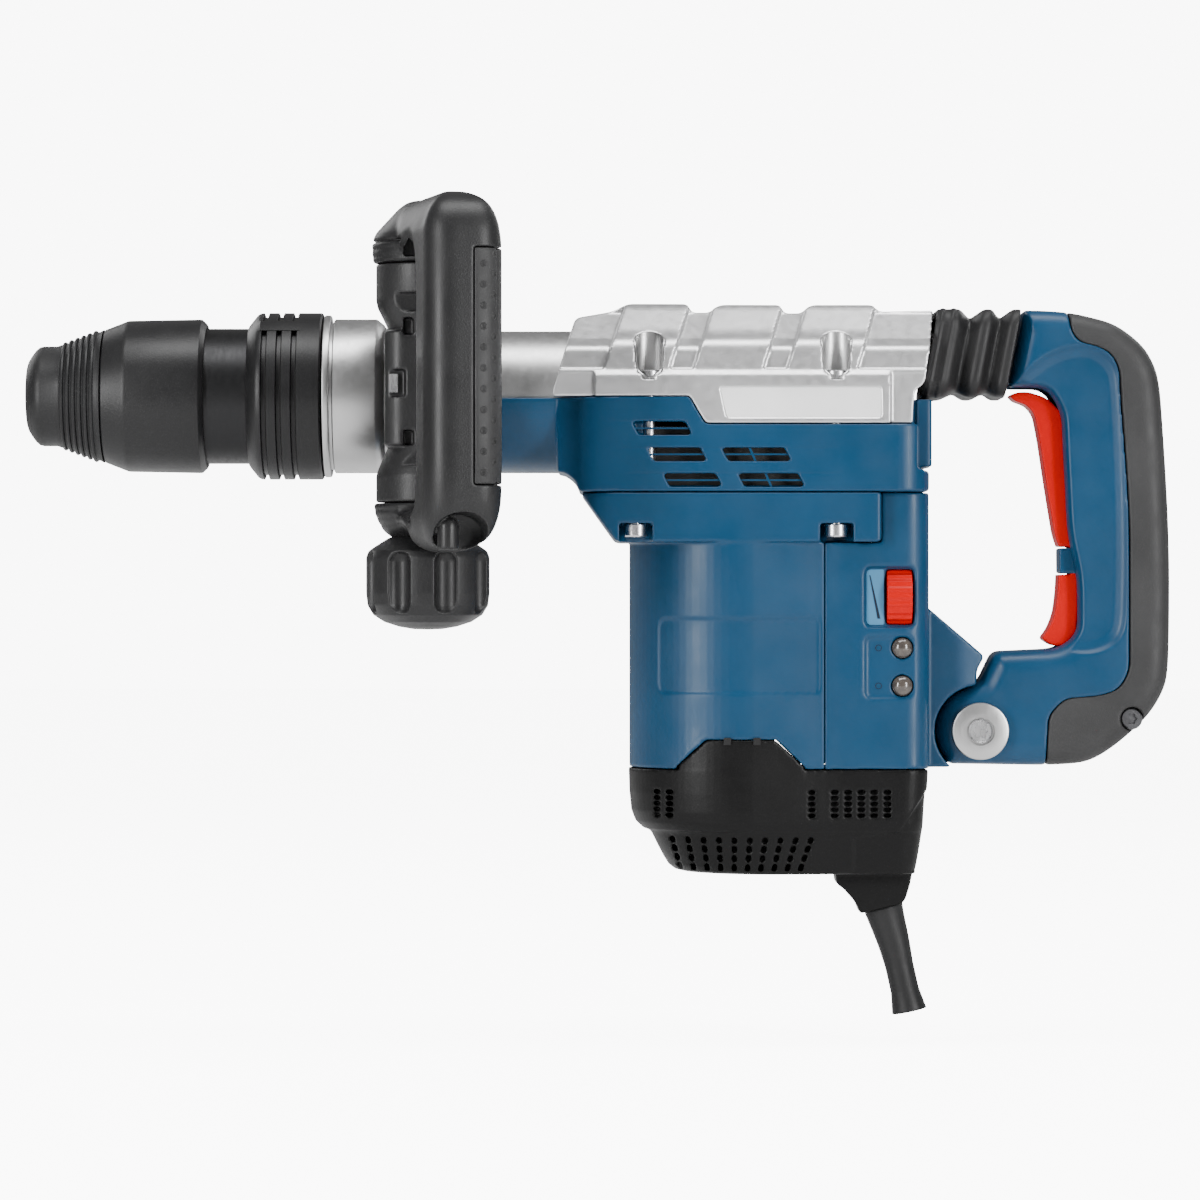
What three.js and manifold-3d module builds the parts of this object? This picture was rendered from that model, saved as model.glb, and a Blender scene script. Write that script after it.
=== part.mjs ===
// Demolition hammer, in millimetres. +X runs from the chuck to the rear handle, +Z is up.
// Shapes are drawn in a frame whose X axis is the hammer axis and whose zero is the nose;
// the whole group is then moved so that the origin is the centre of the rear grip.
import * as THREE from "three";
import { mergeVertices } from "three/addons/utils/BufferGeometryUtils.js";
import Module from "manifold-3d";

const wasm = await Module();
wasm.setup();

// ---------- driving dimensions ----------
const GRIP = [462, 0, -36]; // centre of the rear grip, which becomes the origin
const GAP = 0.3; // running gap between neighbouring pieces
const ROUND = 28; // sides of a large round piece
const SMALL = 16; // sides of a small or hidden round piece

const NECK_R = 28.8; // tool holder's neck behind the locking sleeve
const RING_R = 35.5; // ribbed ring
const SEAT_R = 29; // barrel seat for the auxiliary handle
const BARREL_R = 27.7;
const BARREL_END = 262;
const SHANK_R = 9.1; // socket for an 18 mm shank

const SPLIT_Z = -41.7; // gear cover to motor housing
const FLANGE_Z = -62.4; // underside of the motor flange
const CAP_Z = -157.6; // motor housing to bottom cap
const BASE_Z = -202.2; // flat underside of the bottom cap
const MOTOR_X = 302.5;
const MOTOR_R = 46.3;
const MOTOR_BORE = 42;
const SEAM_X = 337.6; // front shell to rear housing
const REAR_X = 382;
const CRANK_X = 340;
const THROW = 12;
const PISTON_PIN_X = 272;
const SCREW_X = [264.4, 342.7];
const SCREW_Y = 40;
const FLANGE_SCREW_X = [258.6, 342.7];
const LAMP_Z = [-106.9, -122.8];
const LAMP_X = 370.4;

const PIVOT = [404.4, 0, -142.2]; // rear handle's pivot
const HUB_R = 15.8;
const HANDLE_HALF = 19.5;
const SKIN = 3; // thickness of the overmould
const HANDLE_SCREW = [468.9, -137.1];

const BOLT = [171.8, -46]; // vertical bolt of the auxiliary handle, x and y
const BAIL_TURN = 13.5; // degrees rearwards at rest
const BAIL_HALF = 16.4; // half the width of the bail's arms and grip
const FLUTES = 8; // finger hollows round the knob

// ---------- materials ----------
const paint = (color, roughness, metalness) => new THREE.MeshStandardMaterial({ color, roughness,
  metalness });
const BLUE = () => paint(0x266491, 0.55, 0);
const BLACK = () => paint(0x26282b, 0.8, 0);
const DARK = () => paint(0x3a3c40, 0.6, 0.2);
const RED = () => paint(0xd22020, 0.5, 0);
const SILVER = () => paint(0xb9babd, 0.45, 0.9);
const STEEL = () => paint(0x9a9ca0, 0.35, 1);
const COPPER = () => paint(0xb06a3a, 0.4, 1);
const CLEAR = () => paint(0xd8dde0, 0.2, 0);

// ---------- geometry helpers ----------
// A three.js geometry as a closed solid facing out.
function solid(geometry) {
  const g = geometry.clone();
  g.deleteAttribute("normal");
  g.deleteAttribute("uv");
  const m = mergeVertices(g, 1e-3);
  const triVerts = new Uint32Array(m.index.array);
  const make = (tris) =>
    new wasm.Manifold(
      new wasm.Mesh({ numProp: 3, vertProperties: new Float32Array(m.attributes.position.array),
        triVerts: tris }),
    );
  const made = make(triVerts);
  if (made.volume() >= 0) return made;
  for (let i = 0; i < triVerts.length; i += 3) {
    [triVerts[i + 1], triVerts[i + 2]] = [triVerts[i + 2], triVerts[i + 1]];
  }
  return make(triVerts);
}

const group = new THREE.Group();
group.position.set(-GRIP[0], -GRIP[1], -GRIP[2]);

// Adds a solid to the part under its name.
function add(name, manifold, material) {
  const m = manifold.getMesh();
  const g = new THREE.BufferGeometry();
  g.setAttribute("position", new THREE.BufferAttribute(new Float32Array(m.vertProperties), 3));
  g.setIndex(new THREE.BufferAttribute(new Uint32Array(m.triVerts), 1));
  g.computeVertexNormals();
  const mesh = new THREE.Mesh(g, material);
  mesh.name = name;
  group.add(mesh);
}

const union = (...list) => list.reduce((a, b) => a.add(b));
const vectors = (pairs) => pairs.map(([a, b]) => new THREE.Vector2(a, b));

// A turned piece about a line parallel to X; pairs are [x, radius].
function turnedX(pairs, y = 0, z = 0, sides = ROUND) {
  const g = new THREE.LatheGeometry(vectors(pairs.map(([x, r]) => [r, x])), sides);
  g.rotateZ(-Math.PI / 2);
  return solid(g.translate(0, y, z));
}

// A turned piece about a vertical line; pairs are [z, radius].
function turnedZ(pairs, x, y = 0, sides = SMALL) {
  const g = new THREE.LatheGeometry(vectors(pairs.map(([z, r]) => [r, z])), sides);
  g.rotateX(Math.PI / 2);
  return solid(g.translate(x, y, 0));
}

// A turned piece about a line parallel to Y; pairs are [y, radius].
function turnedY(pairs, x, z, sides = SMALL) {
  const g = new THREE.LatheGeometry(vectors(pairs.map(([y, r]) => [r, y])), sides);
  return solid(g.translate(x, 0, z));
}

const rod = (a, b, r) => [[a, 0], [a, r], [b, r], [b, 0]];
const tube = (a, b, inner, outer) => [[a, inner], [a, outer], [b, outer], [b, inner], [a, inner]];

function box(x0, x1, y0, y1, z0, z1) {
  const g = new THREE.BoxGeometry(x1 - x0, y1 - y0, z1 - z0);
  return solid(g.translate((x0 + x1) / 2, (y0 + y1) / 2, (z0 + z1) / 2));
}

function extruded(pairs, depth, bevel, inset) {
  const round = { bevelEnabled: true, bevelThickness: bevel, bevelSize: bevel, bevelSegments: 3 };
  round.bevelOffset = -bevel - inset;
  const options = bevel ? { depth: depth - 2 * bevel, ...round } : { depth, bevelEnabled: false };
  return new THREE.ExtrudeGeometry(new THREE.Shape(vectors(pairs)), options).translate(0, 0, bevel || 0);
}

// A side outline of [x, z] pairs, spread from y0 to y1.
function sideways(pairs, y0, y1, bevel = 0, inset = 0) {
  const g = extruded(pairs, y1 - y0, bevel, inset);
  return solid(g.rotateX(Math.PI / 2).translate(0, y1, 0));
}

// A plan outline of [x, y] pairs, raised from z0 to z1.
function upright(pairs, z0, z1, bevel = 0) {
  return solid(extruded(pairs, z1 - z0, bevel, 0).translate(0, 0, z0));
}

// A cross-section of [y, z] pairs, drawn from x0 to x1.
function lengthways(pairs, x0, x1) {
  const g = extruded(pairs, x1 - x0, 0, 0);
  return solid(g.rotateX(Math.PI / 2).rotateZ(Math.PI / 2).translate(x0, 0, 0));
}

// A skin through rings with equal point counts, capped at both ends.
function loft(rings) {
  const n = rings[0].length;
  const position = rings.flat().flatMap((p) => [p[0], p[1], p[2]]);
  const index = [];
  for (let i = 0; i + 1 < rings.length; i++) {
    for (let j = 0; j < n; j++) {
      const a = i * n + j;
      const b = i * n + ((j + 1) % n);
      index.push(a, b, b + n, a, b + n, a + n);
    }
  }
  const last = (rings.length - 1) * n;
  for (let j = 1; j + 1 < n; j++) {
    index.push(0, j + 1, j);
    index.push(last, last + j, last + j + 1);
  }
  const g = new THREE.BufferGeometry();
  g.setAttribute("position", new THREE.Float32BufferAttribute(position, 3));
  g.setIndex(index);
  return solid(g);
}

// Points of a corner or curve as an arc about a centre, angles in degrees.
function arc(cx, cy, r, from, to, steps) {
  return Array.from({ length: steps + 1 }, (_, i) => {
    const t = THREE.MathUtils.degToRad(from + ((to - from) * i) / steps);
    return [cx + r * Math.cos(t), cy + r * Math.sin(t)];
  });
}

const polar = (cx, r, degrees) => arc(cx, 0, r, degrees, degrees, 1)[0];
const flipped = (half) => [...half, ...half.slice(1, -1).map(([a, b]) => [a, -b]).reverse()];

// ---------- chuck ----------
function toolHolder() {
  const body = turnedX([
    [3, SHANK_R], [3, 16], [5, 18], [64, 18], [64, NECK_R], [98, NECK_R],
    [98, 22.9], [150, 22.9], [150, 12.6], [104, 12.6], [100, SHANK_R], [3, SHANK_R],
  ]);
  const slots = [-1, 1].map((s) => box(36.5, 53.5, Math.min(s * 8, s * 17.5), Math.max(s * 8,
    s * 17.5), -3.4, 3.4));
  return body.subtract(union(...slots));
}

function dustCap() {
  const ribs = [0, 2, 4].flatMap((i) => {
    const x = 20.6 + i * 2.3;
    return [[x, 22.8 + i * 1.05], [x + 1, 24 + i * 1.05]];
  });
  return turnedX([
    [0, 9.8], [0, 14.4], [1.2, 16.5], [4, 19.2], [7.9, 21.3], [13.7, 21.3], [18, 21.6], ...ribs,
    [32.4, 28.4], [32.4, 18.3], [2.6, 18.3], [2.6, 9.8], [0, 9.8],
  ]);
}

const lockingSleeve = () =>
  turnedX([
    [32.8, 18.4], [32.8, 28.4], [42.7, 32.1], [74.1, 32.8], [76.5, 30.4],
    [76.5, 29.2], [44, 29.2], [44, 18.4], [32.8, 18.4],
  ]);

function ribbedRing() {
  const grooves = [102, 108.3, 114.6].flatMap((x) => [
    [x - 1.2, RING_R], [x - 0.8, RING_R - 1.8], [x + 0.8, RING_R - 1.8], [x + 1.2, RING_R],
  ]);
  const body = turnedX([
    [94.4, 29.2], [94.4, 30], [98.4, RING_R - 0.6], [99.4, RING_R], ...grooves,
    [125.4, RING_R], [126, RING_R - 0.6], [126, 29.2], [94.4, 29.2],
  ]);
  const pad = box(99.5, 116, -11, 11, 29.6, RING_R - 0.1);
  return body.add(pad);
}

function coil(axisPoint, radius, wire, from, to, turns) {
  const points = Array.from({ length: turns * 8 + 1 }, (_, i) => {
    const t = (i / 8) * 2 * Math.PI;
    const x = from + ((to - from) * i) / (turns * 8);
    return new THREE.Vector3(x, axisPoint[0] + radius * Math.cos(t), axisPoint[1] + radius * Math.sin(t));
  });
  const wireShape = new THREE.Shape(vectors(arc(0, 0, wire, 0, 300, 5)));
  const path = new THREE.CatmullRomCurve3(points);
  return solid(new THREE.ExtrudeGeometry(wireShape, { steps: turns * 8, extrudePath: path,
    bevelEnabled: false }));
}

// ---------- barrel and drive ----------
const barrel = () =>
  turnedX([
    [126.3, 23.4], [126.3, 33.8], [127, 34.5], [129, 34.5], [129.5, 34], [129.5, 31.6], [130.6, 31.6],
    [130.6, 32.4], [131, 32.8], [149, 32.8], [152.4, 30.2], [152.7, SEAT_R], [199.5, SEAT_R],
      [200.5, BARREL_R],
    [BARREL_END, BARREL_R], [BARREL_END, 23.4], [126.3, 23.4],
  ]);

function piston() {
  const x = PISTON_PIN_X;
  const body = turnedX([[x - 26, 0], [x - 26, 18.6], [x + 8, 18.6], [x + 8, 12.5], [x - 12, 12.5],
    [x - 12, 0]], 0, 0, 28);
  return body.subtract(turnedZ(rod(-20, 20, 4.3), x));
}

function connectingRod() {
  const big = CRANK_X + THROW;
  const shank = upright([[PISTON_PIN_X + 5, -4], [big - 8, -5], [big - 8, 5], [PISTON_PIN_X + 5, 4]],
    -4, 4);
  const eyes = union(turnedZ(rod(-5.8, 5.8, 10), big), turnedZ(rod(-5.8, 5.8, 7.5), PISTON_PIN_X));
  const holes = union(turnedZ(rod(-7, 7, 5.6), big), turnedZ(rod(-7, 7, 4.3), PISTON_PIN_X));
  return shank.add(eyes).subtract(holes);
}

function crankshaft() {
  const shaft = turnedZ([[-56, 0], [-56, 8], [-17.4, 8], [-17.4, 19], [-13.4, 19], [-13.4, 0]], CRANK_X);
  const pin = turnedZ(rod(-14, -6.4, 5.2), CRANK_X + THROW);
  return shaft.add(pin);
}

// A spur gear's outline: straight-flanked teeth with generous backlash.
function gearOutline(cx, teeth, pitch, phase) {
  const step = 360 / teeth;
  const out = [];
  for (let i = 0; i < teeth; i++) {
    const mid = phase + i * step;
    out.push(polar(cx, pitch - 1.7, mid - step * 0.28));
    out.push(polar(cx, pitch + 1.1, mid - step * 0.1));
    out.push(polar(cx, pitch + 1.1, mid + step * 0.1));
    out.push(polar(cx, pitch - 1.7, mid + step * 0.28));
  }
  return out;
}

const crankGear = () =>
  upright(gearOutline(CRANK_X, 40, 31.25, 180), -36, -25).subtract(turnedZ(rod(-40, -20, 8.3), CRANK_X));

function motorShaft() {
  const pinion = upright(gearOutline(MOTOR_X, 8, 6.25, 22.5), -38, -23);
  const shaft = turnedZ([[-187, 0], [-187, 5], [-172, 5], [-172, 6], [-44, 6], [-40, 4.4], [-37, 4.4],
    [-37, 0]], MOTOR_X);
  return shaft.add(pinion);
}

function fan() {
  const hub = turnedZ(tube(-77, -66, 6.3, 12), MOTOR_X);
  const plate = turnedZ(tube(-68, -66, 6.3, 38), MOTOR_X, 0, 32);
  const blades = Array.from({ length: 10 }, (_, i) => {
    const g = new THREE.BoxGeometry(28, 1.6, 8).translate(24, 0, -71.5).rotateZ((i * Math.PI) / 5);
    return solid(g.translate(MOTOR_X, 0, 0));
  });
  return union(hub, plate, ...blades);
}

// ---------- housings ----------
const HOUSING_SIDE = [
  [233, 32.3], [249.6, 35.5], [255, 38.6], [280.7, 38.5], [282.5, 34.9], [289.9, 34.9], [294.2, 38.1],
  [319.9, 38], [321.6, 34.6], [328.8, 34.6], [332.7, 38], [359.1, 38], [361.7, 35.3], [384.9, 35.8],
  [382.1, 19.2], [379.5, 3.8], [375.3, 0.9], [374.4, -12.6], [287.8, -12.6], [281.2, -1.3],
    [223.8, -1.3], [223.8, 0.7],
];

function gearboxHousing() {
  const half = [[0, 38.8], [19, 38.6], [34, 25.5], [42.5, 21], [44.5, 8], [46, 5.2], [46.4, -13]];
  const bandBed = lengthways([[19, 60], [60, 60], [60, 6], [43.6, 8], [41.4, 20.2], [33, 24.3],
    [19, 36]], 200, 400);
  let body = sideways(HOUSING_SIDE, -50, 50).intersect(lengthways(flipSection(half), 220, 390));
  for (const x of [286.2, 325.2]) {
    const lean = (z) => x + (38 - z) * 0.26;
    const groove = [[lean(42) - 3.4, 42], [lean(42) + 3.4, 42], [lean(10) + 3.4, 10],
      [lean(10) - 3.4, 10]];
    for (const s of [-1, 1]) {
      const cut = sideways(groove, 0, 60).intersect(bandBed);
      body = body.subtract(s > 0 ? cut : cut.mirror([0, 1, 0]));
    }
  }
  const cavity = union(box(262, 371, -30, 30, -20, 24), turnedX(rod(210, BARREL_END + GAP,
    BARREL_R + 0.2)));
  body = body.subtract(cavity);
  for (const x of SCREW_X) {
    for (const y of [-SCREW_Y, SCREW_Y]) {
      body = body.subtract(turnedZ([[-20, 0], [-20, 2.8], [5.5, 2.8], [5.5, 6.6], [45, 6.6], [45, 0]],
        x, y));
    }
  }
  return body;
}

// Closes a half cross-section of [y, z] pairs about the middle plane.
function flipSection(half) {
  const other = half.slice(1).map(([y, z]) => [-y, z]).reverse();
  return [...half, ...other];
}

function gearCover() {
  const side = [
    [226, -1.7], [281, -1.7], [287.6, -13], [382, -13], [382, SPLIT_Z + 0.3], [235.2, SPLIT_Z + 0.3],
    [233.5, -36.6], [229, -33.4], [226, -32.9],
  ];
  const half = [[226, 0], [226, 32.9], [231, 38], [238, 44], [246, 46.6], [374, 46.6], [380, 44],
    [382, 38], [382, 0]];
  const neck = turnedX(rod(200.9, 236, 32.8)).intersect(box(190, 240, -40, 40, -40, -1.7));
  const rearTab = box(375.2, 384, -13, 13, -31, -2.2);
  const cavity = union(
    box(262, 374.2, -35.4, 35.4, -38.5, 10),
    turnedX(rod(190, BARREL_END + GAP, BARREL_R + 0.2)),
    turnedZ(rod(-50, -30, 8.6), CRANK_X),
    turnedZ(rod(-50, -30, 8.2), MOTOR_X),
    box(203.7, 219, -35, -28, -30.2, -27),
  );
  let body = sideways(side, -50, 50).intersect(upright(flipped(half), -50, 5));
  body = body.add(neck).add(rearTab).subtract(cavity);
  for (const x of SCREW_X) {
    for (const y of [-SCREW_Y, SCREW_Y]) body = body.subtract(turnedZ(rod(-34, 5, 2.8), x, y));
  }
  for (const vent of VENTS) body = body.subtract(ventCut(...vent));
  return body;
}

// Start at the top edge, middle height and width of each cooling vent.
const VENTS = [
  [258.3, -13.4, 22.4], [264.4, -24.5, 22.4], [270.8, -35.5, 22], [296.5, -24.5, 26.7],
    [303.2, -35.5, 25.5],
];

// A slanted vent through both side walls.
function ventCut(x, z, width) {
  const outline = [[x, z + 2.8], [x + width, z + 2.8], [x + width + 2.8, z - 2.8], [x + 2.8, z - 2.8]];
  return union(sideways(outline, -60, -36), sideways(outline, 36, 60));
}

// Plan outline of the motor housing: round at the motor, box-shaped at the rear.
function motorPlan(grow = 0) {
  const r = MOTOR_R + grow;
  const front = arc(MOTOR_X, 0, r, 180, 84, 7);
  const rear = [[326, 43.4 + grow], [344, 41 + grow], [372, 40 + grow]];
  const corner = arc(372 + grow, 30 + grow, 10, 80, 0, 2);
  return flipped([...front, ...rear, ...corner, [REAR_X + grow, 0]]);
}

const notchOutline = (inset) => [
  [275.6 + inset, -160], [275.6 + inset, CAP_Z + 0.9], [288 + inset, -145.2 - inset],
  [317.6 - inset, -145.2 - inset], [329.5 - inset, CAP_Z + 0.9], [329.5 - inset, -160],
];

function motorHousing() {
  const flangeSide = [[235.4, SPLIT_Z - 0.1], [361.4, SPLIT_Z - 0.1], [361.4, FLANGE_Z],
    [250.6, FLANGE_Z]];
  const flangePlan = flipped([[235, 0], [235, 36], [240, 43], [248, 46.4], [361.4, 46.4], [361.4, 0]]);
  const flange = sideways(flangeSide, -50, 50).intersect(upright(flangePlan, -70, -40));
  const shell = upright(motorPlan(), CAP_Z, FLANGE_Z + 1).intersect(box(200, SEAM_X - 0.15, -60, 60,
    -200, 0));
  let body = flange.add(shell);
  body = body.subtract(union(
    turnedZ(rod(-170, -64, MOTOR_BORE), MOTOR_X, 0, ROUND),
    turnedZ([[-70, 0], [-70, 11], [-58, 11], [-58, 13.3], [-46, 13.3], [-46, 8], [-38, 8], [-38, 0]],
      MOTOR_X),
    turnedZ([[-57.5, 0], [-57.5, 13.3], [-45, 13.3], [-45, 9], [-38, 9], [-38, 0]], CRANK_X),
    sideways(notchOutline(0), -60, 60),
  ));
  const pocket = [[-70, 0], [-70, 6.8], [-54.6, 6.8], [-54.6, 2.8], [-36, 2.8], [-36, 0]];
  for (const x of FLANGE_SCREW_X) {
    for (const y of [-SCREW_Y, SCREW_Y]) body = body.subtract(turnedZ(pocket, x, y));
  }
  return body;
}

// Rear housing with the electronics space and the bracket that carries the rear handle.
function rearHousing() {
  const tower = upright(motorPlan(), CAP_Z, SPLIT_Z - 0.1).intersect(box(361.7, 400, -60, 60, -200, 0));
  const shell = upright(motorPlan(), CAP_Z, FLANGE_Z - 0.3).intersect(box(SEAM_X + 0.15, 400, -60, 60,
    -200, 0));
  const bracketSide = [[374, -86], [382, -89.8], [404.5, -109.4], [403, -115], [400, CAP_Z],
    [374, CAP_Z]];
  const [px, , pz] = PIVOT;
  const tongue = sideways([[380, -150], [380, -130], [px, -131], [px, -153]], -7.2, 7.2);
  const eye = turnedY(rod(-7.2, 7.2, 13), px, pz, 24);
  const bracket = sideways(bracketSide, -22, 22, 2.5).subtract(turnedY(rod(-30, 30, 19.4), px, pz,
    ROUND));
  let body = union(tower, shell, bracket, eye, tongue);
  body = body.subtract(turnedY(rod(-30, 30, 6.3), px, pz));
  body = body.subtract(box(330, 378, -36, 36, -170, -66));
  body = body.subtract(box(354.8, 375.7, -50, -30, -98.3, -72.8));
  body = body.subtract(box(354.8, 375.7, -50, -38.6, -128.1, -102));
  for (const z of LAMP_Z) body = body.subtract(turnedY(rod(-45, -30, 4.7), LAMP_X, z));
  return body;
}

// Plan ring of the bottom cap at one height, from x0 to x1 with a half width.
function capRing(x0, x1, half, z) {
  const plan = motorPlan();
  const scaleX = (x1 - x0) / (REAR_X - (MOTOR_X - MOTOR_R));
  return plan.map(([x, y]) => [x0 + (x - (MOTOR_X - MOTOR_R)) * scaleX, (y * half) / MOTOR_R, z]);
}

function bottomCap() {
  const outer = loft([
    capRing(255.9, 381.6, 46.3, CAP_Z - 0.3), capRing(261.6, 380.4, 45, -181), capRing(263.7, 380.2,
      44.2, -185),
    capRing(271, 378.2, 40.5, -197), capRing(280.7, 376, 36, BASE_Z),
  ]);
  const inner = loft([
    capRing(260, 377.6, 42, CAP_Z + 5), capRing(265.6, 376.6, 41, -181), capRing(268, 376, 40, -185),
    capRing(275, 374.6, 36.5, -195), capRing(283, 373, 33, BASE_Z + 3),
  ]);
  const tongue = upright(motorPlan(), CAP_Z - 4, -145).intersect(sideways(notchOutline(0.35), -60, 60));
  const tongueBore = turnedZ(rod(-170, -64, MOTOR_BORE), MOTOR_X, 0, ROUND).add(box(200, 400, -38, 38,
    -180, -100));
  const seat = turnedZ(tube(BASE_Z + 2, -174, 11.3, 14), MOTOR_X);
  const outletSide = [
    [342.8, -198], [372, -198], [375.4, -207], [372.6, -215], [354.4, -219.6], [352.7, -215.8],
    [346.7, -209], [344.1, -207.7],
  ];
  const outlet = sideways(outletSide, -13, 13, 3);
  let body = outer.subtract(inner).add(tongue.subtract(tongueBore)).add(seat).add(outlet);
  body = body.subtract(cableBore(7.8));
  for (const x of [275, 352.6, 359, 365.4]) body = body.subtract(box(x, x + 3.2, -60, 60, -178, -166));
  for (let i = 0; i < 5; i++) body = body.subtract(box(287 + i * 11, 291 + i * 11, -60, 60, -198, -188));
  return body;
}

const CABLE_PATH = [[362, -206], [364.6, -218], [368.8, -232.3], [372.2, -246.5], [375.6, -262]];

// Rings square to the cable path, with one radius for each path point.
function pathRings(points, radii, sides = 16) {
  return points.map(([x, z], i) => {
    const [ax, az] = points[Math.max(i - 1, 0)];
    const [bx, bz] = points[Math.min(i + 1, points.length - 1)];
    const along = new THREE.Vector2(bx - ax, bz - az).normalize();
    return arc(0, 0, radii[i], 0, 360 - 360 / sides, sides - 1)
      .map(([u, v]) => [x + u * -along.y, v, z + u * along.x]);
  });
}

const cableBore = (r) => loft(pathRings([[358, -192], ...CABLE_PATH.slice(1, 2), [366, -223]],
  [r, r, r]));

function cordGuard() {
  const outer = loft(pathRings([[361.4, -203.6], ...CABLE_PATH.slice(1)], [6.9, 6.9, 7, 6.1, 7.2]));
  const flare = loft(pathRings([[364.9, -219.9], [366.2, -223.6], [368.6, -231.6]], [8.4, 8.2, 6.6]));
  const bore = loft(pathRings([[360.8, -201], ...CABLE_PATH.slice(1, 4), [376.2, -264.6]],
    [4.2, 4.2, 4.2, 4.2, 4.2]));
  return outer.add(flare).subtract(bore);
}

// ---------- rear handle ----------
const HANDLE_TOP = [
  [423.8, 36], [441.5, 35.2], [450.2, 33.6], [462, 30.1], [472.2, 22.6], [477.7, 15.5], [480.8, 5.3],
];
const HANDLE_BACK = [
  [482.5, -13.6], [484.8, -45.1], [485.2, -69.4], [484.8, -115.8], [482.5, -125.2], [476.1, -135.4],
];
const HANDLE_FOOT = [[465.9, -144.9], [456.4, -152], [448.5, -155.6], [432.5, -156.4]];
const SOFT_EDGE = [
  [441.9, 36], [443.8, 25.1], [447, 22.1], [454, 21], [459.6, 17.9], [463.6, 11.5], [464.2, -0.9],
  [465.9, -21.5], [467.9, -52.8], [467.9, -115.8], [464.4, -123.9], [457.4, -127.1], [439.5, -128.6],
  [432.8, -136.2], [432.5, -158],
];

function handleOutline() {
  const [px, , pz] = PIVOT;
  const front = [
    [410, -108.2], [436.8, -107.4], [441, -103], [443.6, -70], [441.8, -30], [439.4, -6], [434, 3],
      [416.6, 3],
  ];
  const hub = arc(px, pz, HUB_R, 270, 110, 8);
  return [...HANDLE_TOP, ...HANDLE_BACK, ...HANDLE_FOOT, ...hub, [406.5, -121], ...front];
}

const BACK_REGION = [...SOFT_EDGE, [500, -158], [500, 50], [441.9, 50]];

function handleBody() {
  return sideways(handleOutline(), -HANDLE_HALF, HANDLE_HALF, 6);
}

// The hard core under the soft overmould stands back from the outside by the skin's thickness.
const core = (skin) => sideways(handleOutline(), -HANDLE_HALF + skin, HANDLE_HALF - skin, 3, skin);

function handleScrewHole(r) {
  return turnedY([[-30, 0], [-30, 5.2], [-14.8, 5.2], [-14.8, r], [12, r], [12, 0]], ...HANDLE_SCREW);
}

function gripOvermould() {
  return handleBody().intersect(sideways(BACK_REGION, -30, 30)).subtract(core(SKIN))
    .subtract(handleScrewHole(2.4));
}

// Room for the rocker, which shows at the front of the grip.
const ROCKER_ROOM = [
  [410, -20], [410, 5], [432, 6.4], [452, 6.4], [465, 0], [465, -86], [452, -109], [426, -106.6],
    [426, -60],
];

function handleShell(side) {
  const [px, , pz] = PIVOT;
  const front = handleBody().subtract(sideways(BACK_REGION.map(([x, z]) => [x - GAP, z]), -30, 30));
  const inner = core(SKIN + GAP);
  const half = side > 0 ? box(380, 500, 0.15, 40, -200, 60) : box(380, 500, -40, -0.15, -200, 60);
  const body = front.add(inner).intersect(half);
  const slot = sideways(ROCKER_ROOM, -9.4, 9.4);
  const bracketRoom = turnedY(rod(-7.6, 7.6, 19.6), px, pz, ROUND).add(box(380, px, -7.6, 7.6, -160,
    -120));
  const pivotHole = turnedY(rod(-30, 30, 6.3), px, pz);
  return body.subtract(union(slot, bracketRoom, pivotHole, handleScrewHole(2.4)));
}

function switchRocker() {
  return sideways([
    [417, -2.1], [421, 0.9], [425.7, 1.7], [433.6, -0.9], [438.3, -5.7], [446, -12], [447, -60],
      [447, -90],
    [445.5, -100], [440.7, -106], [436, -106.2], [430.9, -103.6], [434.5, -99.2], [436.4, -90.7],
      [438, -79],
    [438.4, -62], [435.6, -59], [433.7, -33.2], [430.6, -12], [428, -5.8], [424, -3],
  ], -8.8, 8.8, 1.6);
}

// Start of each fold, its half width and its dip below the top.
const BELLOWS = [
  [386.4, 25, 0], [396, 25, 0], [400.6, 20, 3], [404, 22, 1.5], [408, 25, 0], [412.4, 20, 3],
    [416, 22, 1.5],
  [421.6, 25, 0],
];

// One slanted ring of the bellows, a wall's thickness inside the outer surface.
function bellowsRing([x, half, dip], wall) {
  const top = 36.2 - dip - wall;
  const bottom = -1.2 + dip * 0.6 + wall;
  const side = half - wall;
  const points = [
    ...arc(side - 8, top - 8, 8, 0, 90, 4), ...arc(8 - side, top - 8, 8, 90, 180, 4),
    ...arc(8 - side, bottom + 8, 8, 180, 270, 4), ...arc(side - 8, bottom + 8, 8, 270, 360, 4),
  ];
  return points.map(([y, z]) => [x - (36 - z) * 0.19, y, z]);
}

function bellows() {
  const outer = BELLOWS.map((r) => bellowsRing(r, 0));
  const first = bellowsRing([BELLOWS[0][0] - 3, 25, 0], 2.4);
  const last = bellowsRing([BELLOWS[7][0] + 3, 25, 0], 2.4);
  const inner = [first, ...BELLOWS.slice(1, 7).map((r) => bellowsRing(r, 2.4)), last];
  return loft(outer).subtract(loft(inner));
}

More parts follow.
